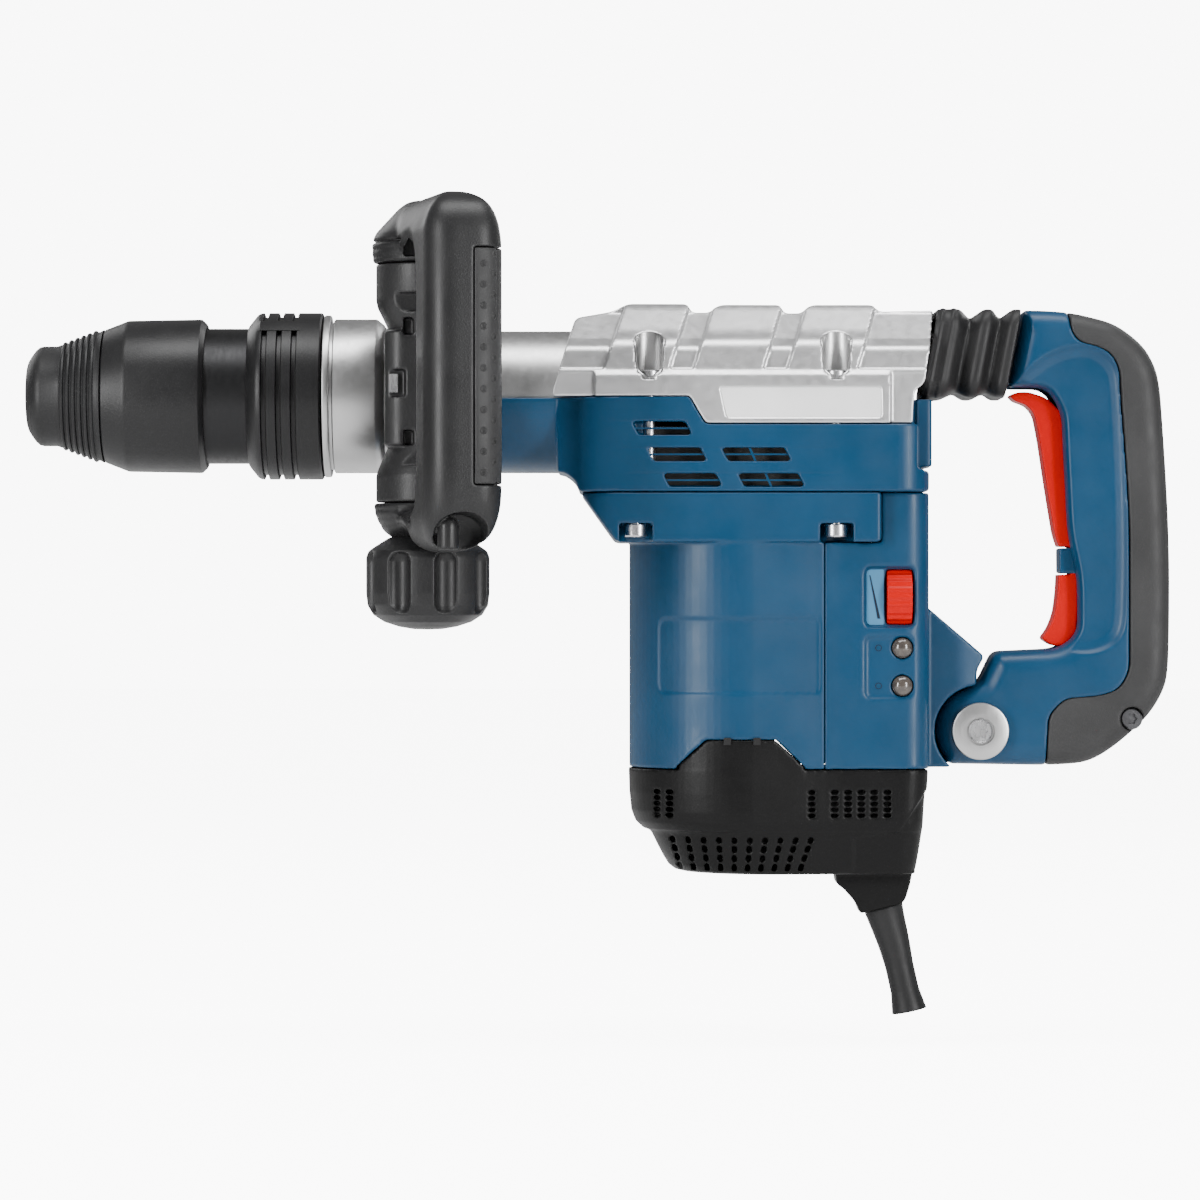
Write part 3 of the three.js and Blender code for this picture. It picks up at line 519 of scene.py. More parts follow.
def ribbed_ring():
    radius = 35.5
    grooves = []
    for x in (102, 108.3, 114.6):
        grooves += [(x - 1.25, radius), (x - 1.0, radius - 0.5), (x - 0.8, radius - 1.9)]
        grooves += [(x + 0.8, radius - 1.9), (x + 1.0, radius - 0.5), (x + 1.25, radius)]
    start = [(94.4, 29.2), (94.4, 29.7), (95, 30.6), (98.2, 34.6), (99.4, 35.3)]
    end = [(125.3, radius), (125.9, 35), (126, 34.4), (126, 29.2)]
    ring = turned(start + grooves + end)
    plain = turned(start + [(100, 35.7), (116.4, 35.7), (117, radius)] + end)
    pad = common(plain, section([(-30, 27), (-8, 27), (-8, 31.4), (-30, 31.4)], 98.8, 117.2))
    place(join(ring, *both_sides(pad)), "angle_ring", "ribbed_ring", CHUCK_BLACK, ["ribbed_ring"])


def barrel():
    profile = [
        (126.3, 23.4), (126.3, 33.7), (126.8, 34.4), (127.2, 34.5), (128.9, 34.5), (129.3, 34.3),
        (129.5, 33.9), (129.5, 31.4),
        (130.7, 31.4), (130.7, 32.2), (131.2, 32.8), (148.6, 32.8), (149.2, 32.5), (151.9, 30.3),
        (152.7, 29), (199.5, 29),
        (200.5, 27.7), (262, 27.7), (262, 23.4),
    ]
    place(turned(profile), "collar_and_tube", "housing", TURNED, ["barrel"])


# ---------- casting ----------
CASTING_SIDE = [
    (233.2, 32.5, 2.5), (249.6, 35.5, 4), (255, 38.6, 3), (280.7, 38.5, 3), (282.7, 34.9, 1.5),
    (289.7, 34.9, 1.5),
    (294.2, 38.1, 3), (319.9, 38, 3), (321.9, 34.6, 1.5), (328.6, 34.6, 1.5), (332.7, 38, 3), (359.1, 38, 3),
    (361.9, 35.3, 3), (384.9, 35.8, 1.5), (382.1, 19.2), (379.5, 3.8, 3), (375.3, 0.9, 2), (374.4, -12.7, 1),
    (287.8, -12.7, 1.5), (281.2, -1.4, 1.5), (224, -1.4, 1.5), (223.8, 0.7, 1),
]
CASTING_HALF = [(0, 39), (18.5, 38.8, 5), (34, 25.6, 3), (42.2, 21.2, 5), (43.6, 9.6, 1.5), (45.8, 7.4, 1.5),
    (46.2, 4.6, 1.5), (46.4, -13)]
HANDS = ((-1, "left"), (1, "right"))
LEAN = 0.32  # the bands lean rearwards by this much per millimetre of height


def leaning_strip(x, width, z0, z1):
    shift = [x - (38 - z) * LEAN for z in (z0, z1)]
    return [(shift[0] - width, z0), (shift[0] + width, z0), (shift[1] + width, z1), (shift[1] - width, z1)]


def screw_pocket(x):
    return turned([(-20, 0), (-20, 2.8), (5.5, 2.8), (5.5, 6.4), (45, 6.4), (45, 0)], "z", (x, -SCREW_Y, 0),
        32)


def casting():
    full = CASTING_HALF + [(-p[0], *p[1:]) for p in reversed(CASTING_HALF[1:])]
    body = common(side(CASTING_SIDE, -50, 50), section(full, 215, 390))
    inner = [(16, 34.6), (31.6, 23), (39.6, 19, 3), (40.6, 10.2), (40.6, 9.4), (60, 9.4), (60, 60), (16, 60)]
    low_section = section([(-y, *r) for y, *r in inner], 200, 400)
    strips = []
    for x, width in ((244.4, 10), (286.7, 5.2), (325.9, 5.2), (376.6, 16.4)):
        strips.append(side(leaning_strip(x, width, 44, 9.8), -60, 0))
    grooves = both_sides(common(join(*strips), low_section))
    for x0, x1 in ((365, 400), (200, 241.4)):
        grooves += both_sides(block(x0, x1, -60, -44, -20, 9))
    pockets = [p for x in CASTING_SCREWS for p in both_sides(screw_pocket(x))]
    panel = [(293.5, 2.4, 1.5), (361.5, 2.4, 1.5), (361.5, -10.9, 1.5), (296.5, -10.9, 1.5)]
    panels = both_sides(side(panel, -50, -45.4))
    label = side(panel, -45.75, -45.42)
    for (_, hand), sheet in zip(HANDS, both_sides(label)):
        place(sheet, "blank_label_" + hand, "housing", LABEL)
    bore = turned(rod(200, 262.4, 28), sides=64)
    cavity = block(262, 371, -29, 29, -30, 21)
    body = cut(body, *grooves)
    for x in CASTING_SCREWS:
        for s, hand in HANDS:
            shell = turned(tube(5.7, 40, 6, 6.4), "z", (x, s * SCREW_Y, 0), 48)
            liner = common(duplicate(body), shell)
            place(liner, f"screw_bore_{round(x)}_{hand}", "housing", TURNED, ())
    body = cut(body, *pockets, *panels, bore, cavity)
    place(mould(body, 0.6, 2), "crank_casting", "housing", CAST, ["gearbox_housing"], 60)


def casting_screws():
    long_screw = [(-32, 0), (-32, 2.5), (5.8, 2.5), (5.8, 4.6), (6.2, 4.9), (9, 4.9), (9.4, 4.4), (9.4, 0)]
    for x, where in zip(CASTING_SCREWS, ("front", "rear")):
        for s, hand in HANDS:
            screw = turned(long_screw, "z", (x, s * SCREW_Y, 0), 32)
            name = f"{where}_casting_screw_{hand}"
            place(cut(screw, star(x, s * SCREW_Y, 6.4, 12)), name + "_detail", "housing", STEEL, [name])
    head = [(-60.4, 0), (-60.4, 4.4), (-59.8, 4.9), (-55.4, 4.9), (-55, 4.6)]
    shank = [(-55, 2.5), (-42.4, 2.5), (-42.4, 0)]
    for x, where in zip(FLANGE_SCREWS, ("front", "rear")):
        name = f"{where}_flange_screw"
        near = turned(head + shank, "z", (x, -SCREW_Y, 0), 32)
        place(cut(near, star(x, -SCREW_Y, -64, -58)), name + "_detail", "housing", STEEL, [name])
        far = turned(head + [(-55, 0)], "z", (x, SCREW_Y, 0), 32)
        place(cut(far, star(x, SCREW_Y, -64, -58)), name + "_far", "housing", STEEL, ())


def star(x, y, z0, z1, radius=2.6):
    """A six-lobed driver recess about a vertical line."""
    return plan(star_outline(x, y, radius), z0, z1)


def star_outline(x, y, radius):
    points = []
    for i in range(24):
        t = math.pi * i / 12
        r = radius * (1 - 0.13 * (1 - math.cos(6 * t)))
        points.append((x + r * math.cos(t), y + r * math.sin(t)))
    return points


# ---------- gear cover ----------
VENTS = [  # top front corner, then width
    (257.0, -12.2, 22.2), (263.3, -23.1, 22.2), (270, -33.9, 22), (294.5, -23.1, 26.2), (301.2, -33.9, 25.2),
]
VENT_HEIGHT = 5.6
VENT_LEAN = 2.9  # how far a vent's lower edge stands behind its upper edge


def slanted(x, z, width, height, lean=VENT_LEAN):
    return [(x, z), (x + width, z), (x + width + lean, z - height), (x + lean, z - height)]


def vent_webs():
    """The thin webs that cross each vent."""
    webs = []
    for x, z, width in VENTS:
        level = side(slanted(x - 1, z - VENT_HEIGHT / 2 + 0.35, width + 4, 0.7, 0), -45.2, -43)
        if x > 290:
            level = join(level, side(slanted(x + 11, z + 0.5, 1, VENT_HEIGHT + 1), -45.2, -43))
        webs += both_sides(level)
    return webs


def gear_cover():
    outline = [
        (226, -1.8), (281, -1.8, 1), (287.6, -13.1, 1.5), (376.4, -13.1, 1), (376.4, -31.4, 1),
        (382, -33, 1), (382, SPLIT_Z + 0.4, 2), (235.2, SPLIT_Z + 0.4, 1),
        (233.4, -36.6, 3), (229, -33.4, 2), (226, -32.9),
    ]
    half = [(226, 0), (226, 32.9), (231, 38, 5), (238, 44.6, 6), (247, 46.5, 5), (374, 46.5, 7),
        (382, 38, 6), (382, 0)]
    body = common(side(outline, -50, 50), plan(flipped(half), -50, 5))
    neck = common(turned(rod(200.9, 236, 32.8), sides=FINE), block(190, 240, -40, 40, -40, -1.8))
    tab = plan(flipped([(370, 0), (370, 30), (383.4, 30, 2), (384, 0)]), -30.6, -2.4)
    tab = cut(tab, side([(375.8, 0), (377, 0), (377, -40), (375.8, -40)], -60, -28))
    body = join(body, neck, tab)
    cavity = [block(262, 374.2, -43.2, 43.2, -38.8, 10), turned(rod(190, 262.4, 28), sides=64),
        block(203.7, 219, -35, -28.6, -30, -27.2)]
    steps = []
    for z, x, end in ((VENTS[0][1], 246, 281), (VENTS[1][1], 250, 344), (VENTS[2][1], 255, 344)):
        steps += both_sides(side([(x, z), (end, z), (end, z - 0.6), (x, z - 0.6)], -50, -45.9))
    vents = [v for vent in VENTS for v in both_sides(side(slanted(*vent, VENT_HEIGHT), -50, -42))]
    body = cut(body, *cavity, *steps, *vents)
    dimples = [turned(rod(382.6, 390, 1.8), "x", (0, -5.5, z), 24) for z in (-9, -24)]
    body = cut(body, *dimples)
    place(mould(body, 0.62, 4), "crank_cover", "housing", BLUE, ["gear_cover"], 60)
    # Painted shade: a dark sheet behind the vents, so their openings read as shadowed
    for name, shade_sheet in zip(("", "_far"), both_sides(block(250, 340, -36, -35, -38.6, -14))):
        place(shade_sheet, "vent_painted_shade" + name, "housing", CARBON_AND_SHADE, ())
    for i, web in enumerate(vent_webs()):
        place(web, f"vent_web_{i:02d}", "housing", BLUE, ())


# ---------- motor and rear housings ----------
def motor_plan(grow=0.0):
    r = MOTOR_R + grow
    front = arc(MOTOR_X, 0, r, 180, 84, 24)
    rear = spline([(307, 46.1 + grow), (326, 43.4 + grow), (344, 41 + grow), (372, 40 + grow)], 4)
    corner = arc(372 + grow, 30 + grow, 10, 88, 0, 8)
    return flipped(front + rear + corner + [(REAR_X + grow, 0)])


def notch(inset):
    return [
        (275.6 + inset, -165), (275.6 + inset, CAP_Z + 0.9), (288 + inset, -145.2 - inset, 1.5),
        (317.6 - inset, -145.2 - inset, 1.5), (329.5 - inset, CAP_Z + 0.9), (329.5 - inset, -165),
    ]


def surface_band(outline, depth, z0, z1):
    """What to cut from the motor's round side to sink an outline by a depth."""
    return cut(side(outline, -60, -10), plan(motor_plan(-depth), z0, z1))


def motor_housing():
    flange_side = [(235.6, SPLIT_Z, 1), (361.4, SPLIT_Z, 1), (361.4, FLANGE_Z, 2), (250.4, FLANGE_Z, 2)]
    flange_half = [(235, 0), (235, 36), (240, 43.4, 6), (248, 46.4, 6), (361.4, 46.4, 2), (361.4, 0)]
    flange = common(side(flange_side, -50, 50), plan(flipped(flange_half), -70, -40))
    shell = common(plan(motor_plan(), CAP_Z, FLANGE_Z + 1), block(200, SEAM_X - 0.1, -60, 60, -200, 0))
    body = join(flange, shell)
    cuts = [upright(MOTOR_X, 0, -170, -64, 42, FINE), side(notch(0), -60, 60)]
    cuts += [upright(x, 0, -70, -46, 13.3, 48) for x in (MOTOR_X, middle("crank_bearing").x)]
    hollow = [(FLANGE_Z - 0.3, 0), (FLANGE_Z - 0.3, 7), (-54.6, 7), (-54.6, 2.8), (-36, 2.8), (-36, 0)]
    for x in FLANGE_SCREWS:
        pocket = turned(hollow, "z", (x, -SCREW_Y, 0), 32)
        opening = block(x - 7, x + 7, -60, -SCREW_Y, FLANGE_Z - 0.3, -54.6)
        cuts += both_sides(join(pocket, opening))
    outer = [(268.2, -94.2, 4), (336, -94.2, 3), (336, -126.3, 3), (268.2, -126.3, 4)]
    cuts += both_sides(surface_band(outer, 0.6, -140, -80))
    lip = [(250, -154.1), (274.8, -154.1), (287.4, -142.2), (318.3, -142.2), (330.4, -154.1), (340, -154.1),
           (340, -154.7), (330.1, -154.7), (318, -142.8), (287.7, -142.8), (275.1, -154.7), (250, -154.7)]
    cuts += both_sides(surface_band(lip, 0.6, -170, -130))
    body = cut(body, *cuts)
    place(mould(body, 0.65, 2), "motor_shell", "housing", BLUE, ["motor_housing"], 60)
    tabs = []
    for x in (296.9, 309.3):
        tabs.append(side([(x - 1.5, -144.4, 0.5), (x + 1.5, -144.4, 0.5), (x + 1.5, -147.4),
            (x - 1.5, -147.4)], -47, -44.6))
    place(join(*tabs), "snap_tabs", "housing", BLACK, ())


LAMP_X = 370.4
LAMP_HEIGHTS = (-106.9, -122.8)


def rear_housing():
    px, pz = PIVOT.x, PIVOT.z
    upper = common(plan(motor_plan(), CAP_Z, SPLIT_Z), block(361.8, 400, -60, 60, -200, 0))
    lower = common(plan(motor_plan(), CAP_Z, FLANGE_Z - 0.4), block(SEAM_X + 0.2, 400, -60, 60, -200, 0))
    bracket_side = [(374, -84), (382, -89.8, 3), (406.4, -110.6, 2), (403.2, -116, 2), (400, -157.4, 1),
        (374, -157.4)]
    half = [(374, 0), (374, 22), (396, 21.6, 3), (412, 18, 6), (412, 0)]
    bracket = common(side(bracket_side, -23, 23), plan(flipped(half), -170, -80))
    bracket = cut(bracket, crosswise(px, pz, -30, 30, 19.4, 64))
    tongue = block(380, px, -7.2, 7.2, -153, -131)
    # Painted shade: the web in the gap around the pivot is drawn in darker blue for the shadow that falls
    # there
    web = cut(crosswise(px, pz, -7.1, 7.1, 19.2, 64), crosswise(px, pz, -30, 30, 6.3))
    web = common(web, block(380, 440, -8, 8, pz - 13.6, pz + 30))
    place(web, "pivot_web", "housing", DARK_BLUE_MARKS_AND_SHADE, ())
    body = join(upper, lower, bracket, tongue)
    cuts = [crosswise(px, pz, -30, 30, 6.3), block(330, 378, -36, 36, -170, -66)]
    window = [(354.8, -72.8, 3), (375.7, -72.8, 3), (375.7, -98.3, 3), (354.8, -98.3, 3)]
    cuts.append(side(window, -50, -38.2))
    cuts.append(side([(363.4, -74, 1), (375.2, -74, 1), (375.2, -97.2, 1), (363.4, -97.2, 1)], -50, -16))
    lamps = [(354.8, -102, 3), (375.7, -102, 3), (375.7, -128.1, 3), (354.8, -128.1, 3)]
    cuts.append(side(lamps, -50, -39.2))
    cuts += [crosswise(LAMP_X, z, -45, -30, 4.6) for z in LAMP_HEIGHTS]
    groove = side([(SEAM_X + 1, -154.1), (384, -154.1), (384, -154.7), (SEAM_X + 1, -154.7)], -60, -10)
    cuts += both_sides(cut(groove, plan(motor_plan(-0.6), -170, -130)))
    place(mould(cut(body, *cuts), 0.7, 4), "rear_shell", "housing", BLUE, ["rear_housing"],
        60)
    ramp = [(355.4, -74, 2), (362.6, -74, 0.5), (362.6, -97.2, 0.5), (355.4, -97.2, 2)]
    place(side(ramp, -38.6, -37.9), "speed_scale", "housing", PALE_BLUE, ())
    wedge = [(356.6, -76.4), (357, -76.4), (361.2, -94.6), (360, -94.6)]
    place(side(wedge, -38.75, -38.3), "scale_wedge", "housing", DARK_BLUE_MARKS_AND_SHADE, ())
    for i, z in enumerate(LAMP_HEIGHTS):
        mark = turned(tube(-39.35, -38.9, 1.1, 1.4), "y", (360.4, 0, z), 24)
        place(mark, f"lamp_mark_{i}", "housing", DARK_BLUE_MARKS_AND_SHADE, ())


def lamps():
    dome = [(-41.6, 0), (-41.5, 1), (-41, 2.4), (-40.2, 3.5), (-39.2, 4.2), (-34, 4.2), (-34, 0)]
    for name, z in zip(("upper_lamp", "lower_lamp"), LAMP_HEIGHTS):
        place(turned(dome, "y", (LAMP_X, 0, z), 40), name + "_dome", "housing", LENS, [name])


def speed_wheel():
    points = []
    for i in range(144):
        t = 2 * math.pi * i / 144
        r = 13 - 0.55 * (0.5 - 0.5 * math.cos(24 * t))
        points.append((-30 + r * math.cos(t), -85.6 + r * math.sin(t)))
    wheel = mould(section(points, 364, 374.6), 0.35, 3)
    place(wheel, "speed_roller", "speed_wheel", RED, ["speed_wheel"])


# ---------- bottom cap and cable sleeve ----------
def cap_ring(x0, x1, half, z):
    front = MOTOR_X - MOTOR_R
    scale = (x1 - x0) / (REAR_X - front)
    return [(x0 + (x - front) * scale, y * half / MOTOR_R, z) for x, y in motor_plan()]


CAP_LEVELS = [  # front, rear, half width, height
    (255.9, 381.8, 46.3, CAP_Z - 0.5), (256.2, 381.2, 46.1, -168), (257, 380.7, 45.6, -176),
    (258.8, 380.5, 44.9, -180.6),
    (262, 380.2, 43.8, -183.6), (264.8, 380, 42.6, -184.6), (265.6, 379.9, 42.2, -185.6),
    (268, 379.2, 40.8, -190.5),
    (270.6, 378.4, 39.4, -195.5), (272.8, 377.8, 38.2, -199), (275.6, 377.2, 37, -201.2),
    (279.4, 376.6, 35.6, -202),
    (283, 376, 34.6, BASE_Z),
]
LOUVRE_TOP = -166.4
LOUVRE_PITCH = 2.45
LOUVRES = [267.8, 273, 332.4, 342, 347.6, 353.2, 358.6, 364.2]


def bottom_cap():
    inner = [(260, 377.6, 42, CAP_Z + 5), (262.6, 376.6, 41, -179), (268, 376, 38, -186),
        (277, 374, 33, -198.6), (284, 373, 31, -199.4)]
    wall = cut(loft([cap_ring(*v) for v in CAP_LEVELS]), loft([cap_ring(*v) for v in inner]))
    body = duplicate(wall)
    bars = common(wall, join(*[block(266, 340, -60, 60, z - 0.4, z + 0.4) for z in (-189.4, -193.2, -197)]))
    tongue = common(plan(motor_plan(), CAP_Z - 4, -145), side(notch(0.35), -60, 60))
    tongue = cut(tongue, upright(MOTOR_X, 0, -170, -64, 42, FINE), block(200, 400, -38, 38, -180, -100))
    seat = turned(tube(-200, -174, 11.3, 14), "z", (MOTOR_X, 0, 0), 48)  # holds the lower motor bearing
    throat = [(342.8, -197), (372, -180), (380.4, -176), (377, -196, 3), (375.6, -206, 3),
        (373.4, -213.6, 2), (372, -215.6, 1),
              (354.2, -220, 1), (352.7, -215.8, 2), (346.7, -209, 2), (344.1, -207.4, 2)]
    across = [(-13.4, -170), (13.4, -170), (13.4, -209, 4), (9.6, -222, 3), (-9.6, -222, 3),
        (-13.4, -209, 4)]
    outlet = common(side(throat, -13.4, 13.4), section(across, 330, 390))
    body = join(body, tongue, seat, outlet)
    cuts = [sleeve_bore(7.6)]
    for x in LOUVRES:
        for row in range(5):
            z = LOUVRE_TOP - row * LOUVRE_PITCH
            cuts += both_sides(block(x - 1.6, x + 1.6, -60, -26, z - 1.75, z))
    for i in range(10):
        top = 274 + i * 6.5
        low = 278 + i * 5.5
        cuts += both_sides(side([(top - 1.1, -186.2), (top + 1.1, -186.2), (low + 1, -200.8),
            (low - 1, -200.8)], -60, -14))
    cuts += both_sides(block(338, 338.5, -60, -40.9, -181, -150))
    corner = side([(386, -163), (381.4, -166), (368.4, -184.6, 1), (350, -186.4), (350, -201.6),
        (386, -201.6)], -60, -10)
    shallow = loft([cap_ring(x0, x1 - 0.8, half - 0.9, z) for x0, x1, half, z in CAP_LEVELS])
    cuts += both_sides(cut(corner, shallow))
    body = join(cut(body, *cuts), bars)
    place(mould(body, 0.62, 2), "motor_cap", "housing", CAP_BLACK, ["bottom_cap"], 60)
    # Painted shade: a dark shell inside the cap, behind the louvres and slots, so they read as shadowed
    outside = loft([cap_ring(264, 374, 38.5, -163), cap_ring(270, 373, 35, -186),
        cap_ring(279, 371, 30, -197.8)])
    hollow = loft([cap_ring(266, 372, 36.5, -160), cap_ring(272, 371, 33, -186),
        cap_ring(281, 369, 28, -197)])
    place(cut(outside, hollow), "cap_painted_shade", "housing", CARBON_AND_SHADE, ())


CABLE_PATH = [(362, -206), (364.6, -218), (368.8, -232.3), (372.2, -246.5), (375.6, -262)]


def path_rings(points, radii, sides=48):
    """Round sections square to a path of (x, z) points."""
    angles = [2 * math.pi * k / sides for k in range(sides)]
    rings = []
    for i, ((x, z), r) in enumerate(zip(points, radii)):
        a = Vector(points[max(i - 1, 0)])
        b = Vector(points[min(i + 1, len(points) - 1)])
        along = (b - a).normalized()
        ring = []
        for t in angles:
            across = r * math.cos(t)
            ring.append((x - across * along.y, r * math.sin(t), z + across * along.x))
        rings.append(ring)
    return rings


def sleeve_bore(r):
    points = [(358, -192), (364.6, -218), (366, -223)]
    return loft(path_rings(points, [r] * 3))


def cord_guard():
    path = spline([(361.4, -203.6)] + CABLE_PATH[1:], 8)
    radii = []
    for _, z in path:
        t = min(max((-218 - z) / 44, 0), 1)
        radii.append(6.9 if z > -218 else 8.4 - 2.3 * min(t / 0.55, 1) ** 0.8 + 1.4 * max(t - 0.8, 0) / 0.2)
    outer = loft(path_rings(path, radii))
    bore = loft(path_rings([(360.8, -201)] + CABLE_PATH[1:4] + [(376.2, -265)], [4.2] * 5))
    body = cut(outer, bore)
    place(mould(body, 0.4, 3), "cable_sleeve", "housing", RUBBER, ["cord_guard"], 60)


# ---------- rear handle ----------
TOP_CURVE = [(423.8, 36.1), (433, 35.9), (441.5, 35.2), (450.2, 33.6), (462, 30), (472.2, 22.6), (477.7, 15),
    (480.8, 5.3)]
BACK_CURVE = [(482.5, -13.6), (484.4, -45.1), (485.2, -69.4), (485.2, -95), (484.6, -115.8), (482.3, -125.6),
    (476.1, -135.6),
              (465.9, -145.4), (456.4, -152.3), (448.5, -155.6), (438, -156.6), (428, -156.8)]
SOFT_EDGE = [  # where the blue shells end and the overmould begins
    (441.4, 40), (443.4, 26.5, 3), (447, 22.2, 3), (454, 20.8, 3), (460.4, 17.4, 5), (463.8, 10.5, 6),
    (464.2, -0.9, 8),
    (465.9, -21.5, 20), (467.9, -52.8, 20), (467.9, -116.8, 7), (463.4, -124.6, 4), (455.4, -127.3, 4),
    (440.5, -128.4, 4),
    (433.6, -135.6, 4), (432.5, -160),
]
WAIST = [  # the edge of the hollow on each side of the grip
    (415, 0), (421, 8.4), (427.2, 13.5), (435.8, 18.8), (446.4, 21.4), (455, 19.6), (462, 13), (464.6, 2.8),
    (466, -20),
    (467, -50), (467, -82), (465.4, -100), (458, -108), (446, -110), (436, -106), (432, -60), (430, -20),
]


def handle_outline():
    px, pz = PIVOT.x, PIVOT.z
    hub = arc(px, pz, HUB_R, 229, 112, 20)
    neck = [(405.2, -120.6, 3), (411, -108.6, 3), (438, -107.4, 6)]
    grip = [(446.2, -101, 6), (446, -76, 10), (442, -60, 20), (440, -22, 20), (439.4, -7, 6), (433, 3.2, 5),
        (416.8, 3.2, 1)]
    return spline(TOP_CURVE + BACK_CURVE, 4) + hub + corners_open(neck + grip)


def corners_open(points):
    """Rounds the inner points of an open run, leaving its ends alone."""
    ends = (0, len(points) - 1)
    return corners([(*p[:2], 0) if i in ends else p for i, p in enumerate(points)])


def shrunk(outline, amount):
    """The outline pulled inwards by an amount."""
    n = len(outline)
    points = [Vector(p[:2]) for p in outline]
    turning = sum(points[i - 1].cross(points[i]) for i in range(n))
    out = []
    for i, here in enumerate(points):
        before = (here - points[i - 1]).normalized()
        after = (points[(i + 1) % n] - here).normalized()
        normals = [Vector((-d.y, d.x)) * (1 if turning > 0 else -1) for d in (before, after)]
        middle_way = (normals[0] + normals[1]).normalized()
        out.append(tuple(here + middle_way * amount / max(middle_way.dot(normals[0]), 0.7)))
    return out


def rounded_slab(outline, half, radius, steps=6):
    """A side outline from y = -half to half with its long edges rounded off."""
    quarter = [math.pi / 2 * k / steps for k in range(steps + 1)]
    levels = [(radius * (1 - math.sin(t)), -half + radius * (1 - math.cos(t))) for t in quarter]
    levels += [(inset, -y) for inset, y in reversed(levels)]
    return loft([[(x, y, z) for x, z in shrunk(outline, inset)] for inset, y in levels])


def handle_solid(radius=8.5):
    return mould(rounded_slab(handle_outline(), HANDLE_HALF, radius), 0.9, 3)


def back_region(shift):
    edge = [(x + shift, z, *r) for x, z, *r in SOFT_EDGE]
    return side(edge + [(500, -160), (500, 40)], -30, 30)


def waist():
    """The hollow with sloping walls that narrows one side of the grip for the hand."""
    edge = spline(WAIST, 4, closed=True)
    levels = [(-5, -HANDLE_HALF - 5), (0, -HANDLE_HALF), (2.2, -HANDLE_HALF + 1.7),
        (5.4, -HANDLE_HALF + 2.8)]
    return loft([[(x, y, z) for x, z in shrunk(edge, inset)] for inset, y in levels])


def handle_shells():
    px, pz = PIVOT.x, PIVOT.z
    body = cut(handle_solid(), back_region(-0.45))
    throat = [(410, -20), (410, 5), (432, 6.4), (452, 6.4), (465, 0), (465, -86), (452, -109), (426, -106.6),
        (426, -60)]
    cuts = [side(throat, -9.4, 9.4), crosswise(px, pz, -7.6, 7.6, 19.6, 64)]
    cuts += [block(380, px, -7.6, 7.6, -160, -120), crosswise(px, pz, -30, 30, 6.3), *both_sides(waist())]
    body = cut(body, *cuts)
    for hand, whole, y0, y1 in (("left", duplicate(body), -40, -0.2), ("right", body, 0.2, 40)):
        half = mould(common(whole, block(380, 500, y0, y1, -200, 60)), 0.62, 3)
        place(half, "handle_" + hand, "rear_handle", BLUE, ["handle_shell_" + hand], 60)


def overmould():
    body = common(handle_solid(8.2), back_region(0))
    screw = middle("handle_screw")
    sink = crosswise(screw.x, screw.z, -40, -12.9, 5.1, 40)
    hole = crosswise(screw.x, screw.z, -16, 12, 2.5, 24)
    place(mould(cut(body, sink, hole), 0.7, 3), "soft_back", "rear_handle", SOFT, ["grip_overmould"],
        60)
    profile = [(-15.4, 0), (-15.4, 4), (-15, 4.6), (-13.1, 4.6), (-13.1, 2.1), (10, 2.1), (10, 0)]
    head = turned(profile, "y", (screw.x, 0, screw.z), 40)
    recess = side(star_outline(screw.x, screw.z, 2.5), -17, -14.2)
    place(cut(head, recess), "shell_screw", "rear_handle", DARK_STEEL, ["handle_screw"])


def switch_rocker():
    outline = [
        (417.4, 0.2, 1.2), (421, 1.5, 2), (425.7, 1.7, 3), (433.6, -0.9, 3), (438.3, -5.7, 2), (446, -12),
        (447, -60), (447, -90),
        (446, -101, 2), (441.5, -106.3, 2), (436, -106.3, 2), (431.2, -103.2, 1.2), (434.3, -99, 2),
        (436.8, -93, 3),
        (438, -84.7, 10), (438.5, -76), (443.6, -76), (443.6, -64.2), (438.6, -64.2), (436.8, -59.1, 3),
        (433.6, -39.9, 20),
        (430.4, -18.5, 10), (428.3, -7.9, 3), (425, -4, 2), (419.8, -2.2, 1),
    ]
    rounding = plan(flipped([(400, 0), (400, 8.8), (430, 8.8, 6), (450, 8.8), (450, 0)]), -120, 10)
    body = common(side(outline, -8.8, 8.8), rounding)
    place(mould(body, 0.5, 6), "rocker", "switch", RED, ["switch_rocker"], 60)
    hub = side([(438.8, -64.7, 1), (449, -64.7, 1), (449, -75.5, 1), (438.9, -75.5, 1)], -9.2, 9.2)
    place(mould(hub, 0.5, 3), "rocker_bearing", "rear_handle", BLUE, (), 60)


def pivot_bolt():
    px, pz = PIVOT.x, PIVOT.z
    cap = [(-23.4, 0), (-23.4, 11.2), (-23.1, 11.8), (-22.5, 12.1), (-20, 12.1)]
    profile = cap + [(-20, 6), (20, 6)] + [(-a, b) for a, b in reversed(cap)]
    body = turned(profile, "y", (px, 0, pz), 72)
    wells = [crosswise(px, pz, low, high, 6, 40) for low, high in ((-26, -21), (21, 26))]
    place(cut(body, *wells), "pivot_disc", "housing", TURNED, ["pivot_bolt"])
    head = turned([(-23, 0), (-23, 4.4), (-22.4, 5.1), (-21.2, 5.1), (-21.2, 0)], "y", (px, 0, pz), 40)
    head = cut(head, side(star_outline(px, pz, 3.2), -26, -21.6))
    for (_, hand), screw in zip(HANDS, both_sides(head)):
        place(screw, "pivot_screw_" + hand, "housing", STEEL, ())


# ---------- bellows ----------
def leaning(x, z):
    """The bellows' folds lean rearwards as they rise, and stand true at their top."""
    return x - (36 - z) * 0.19


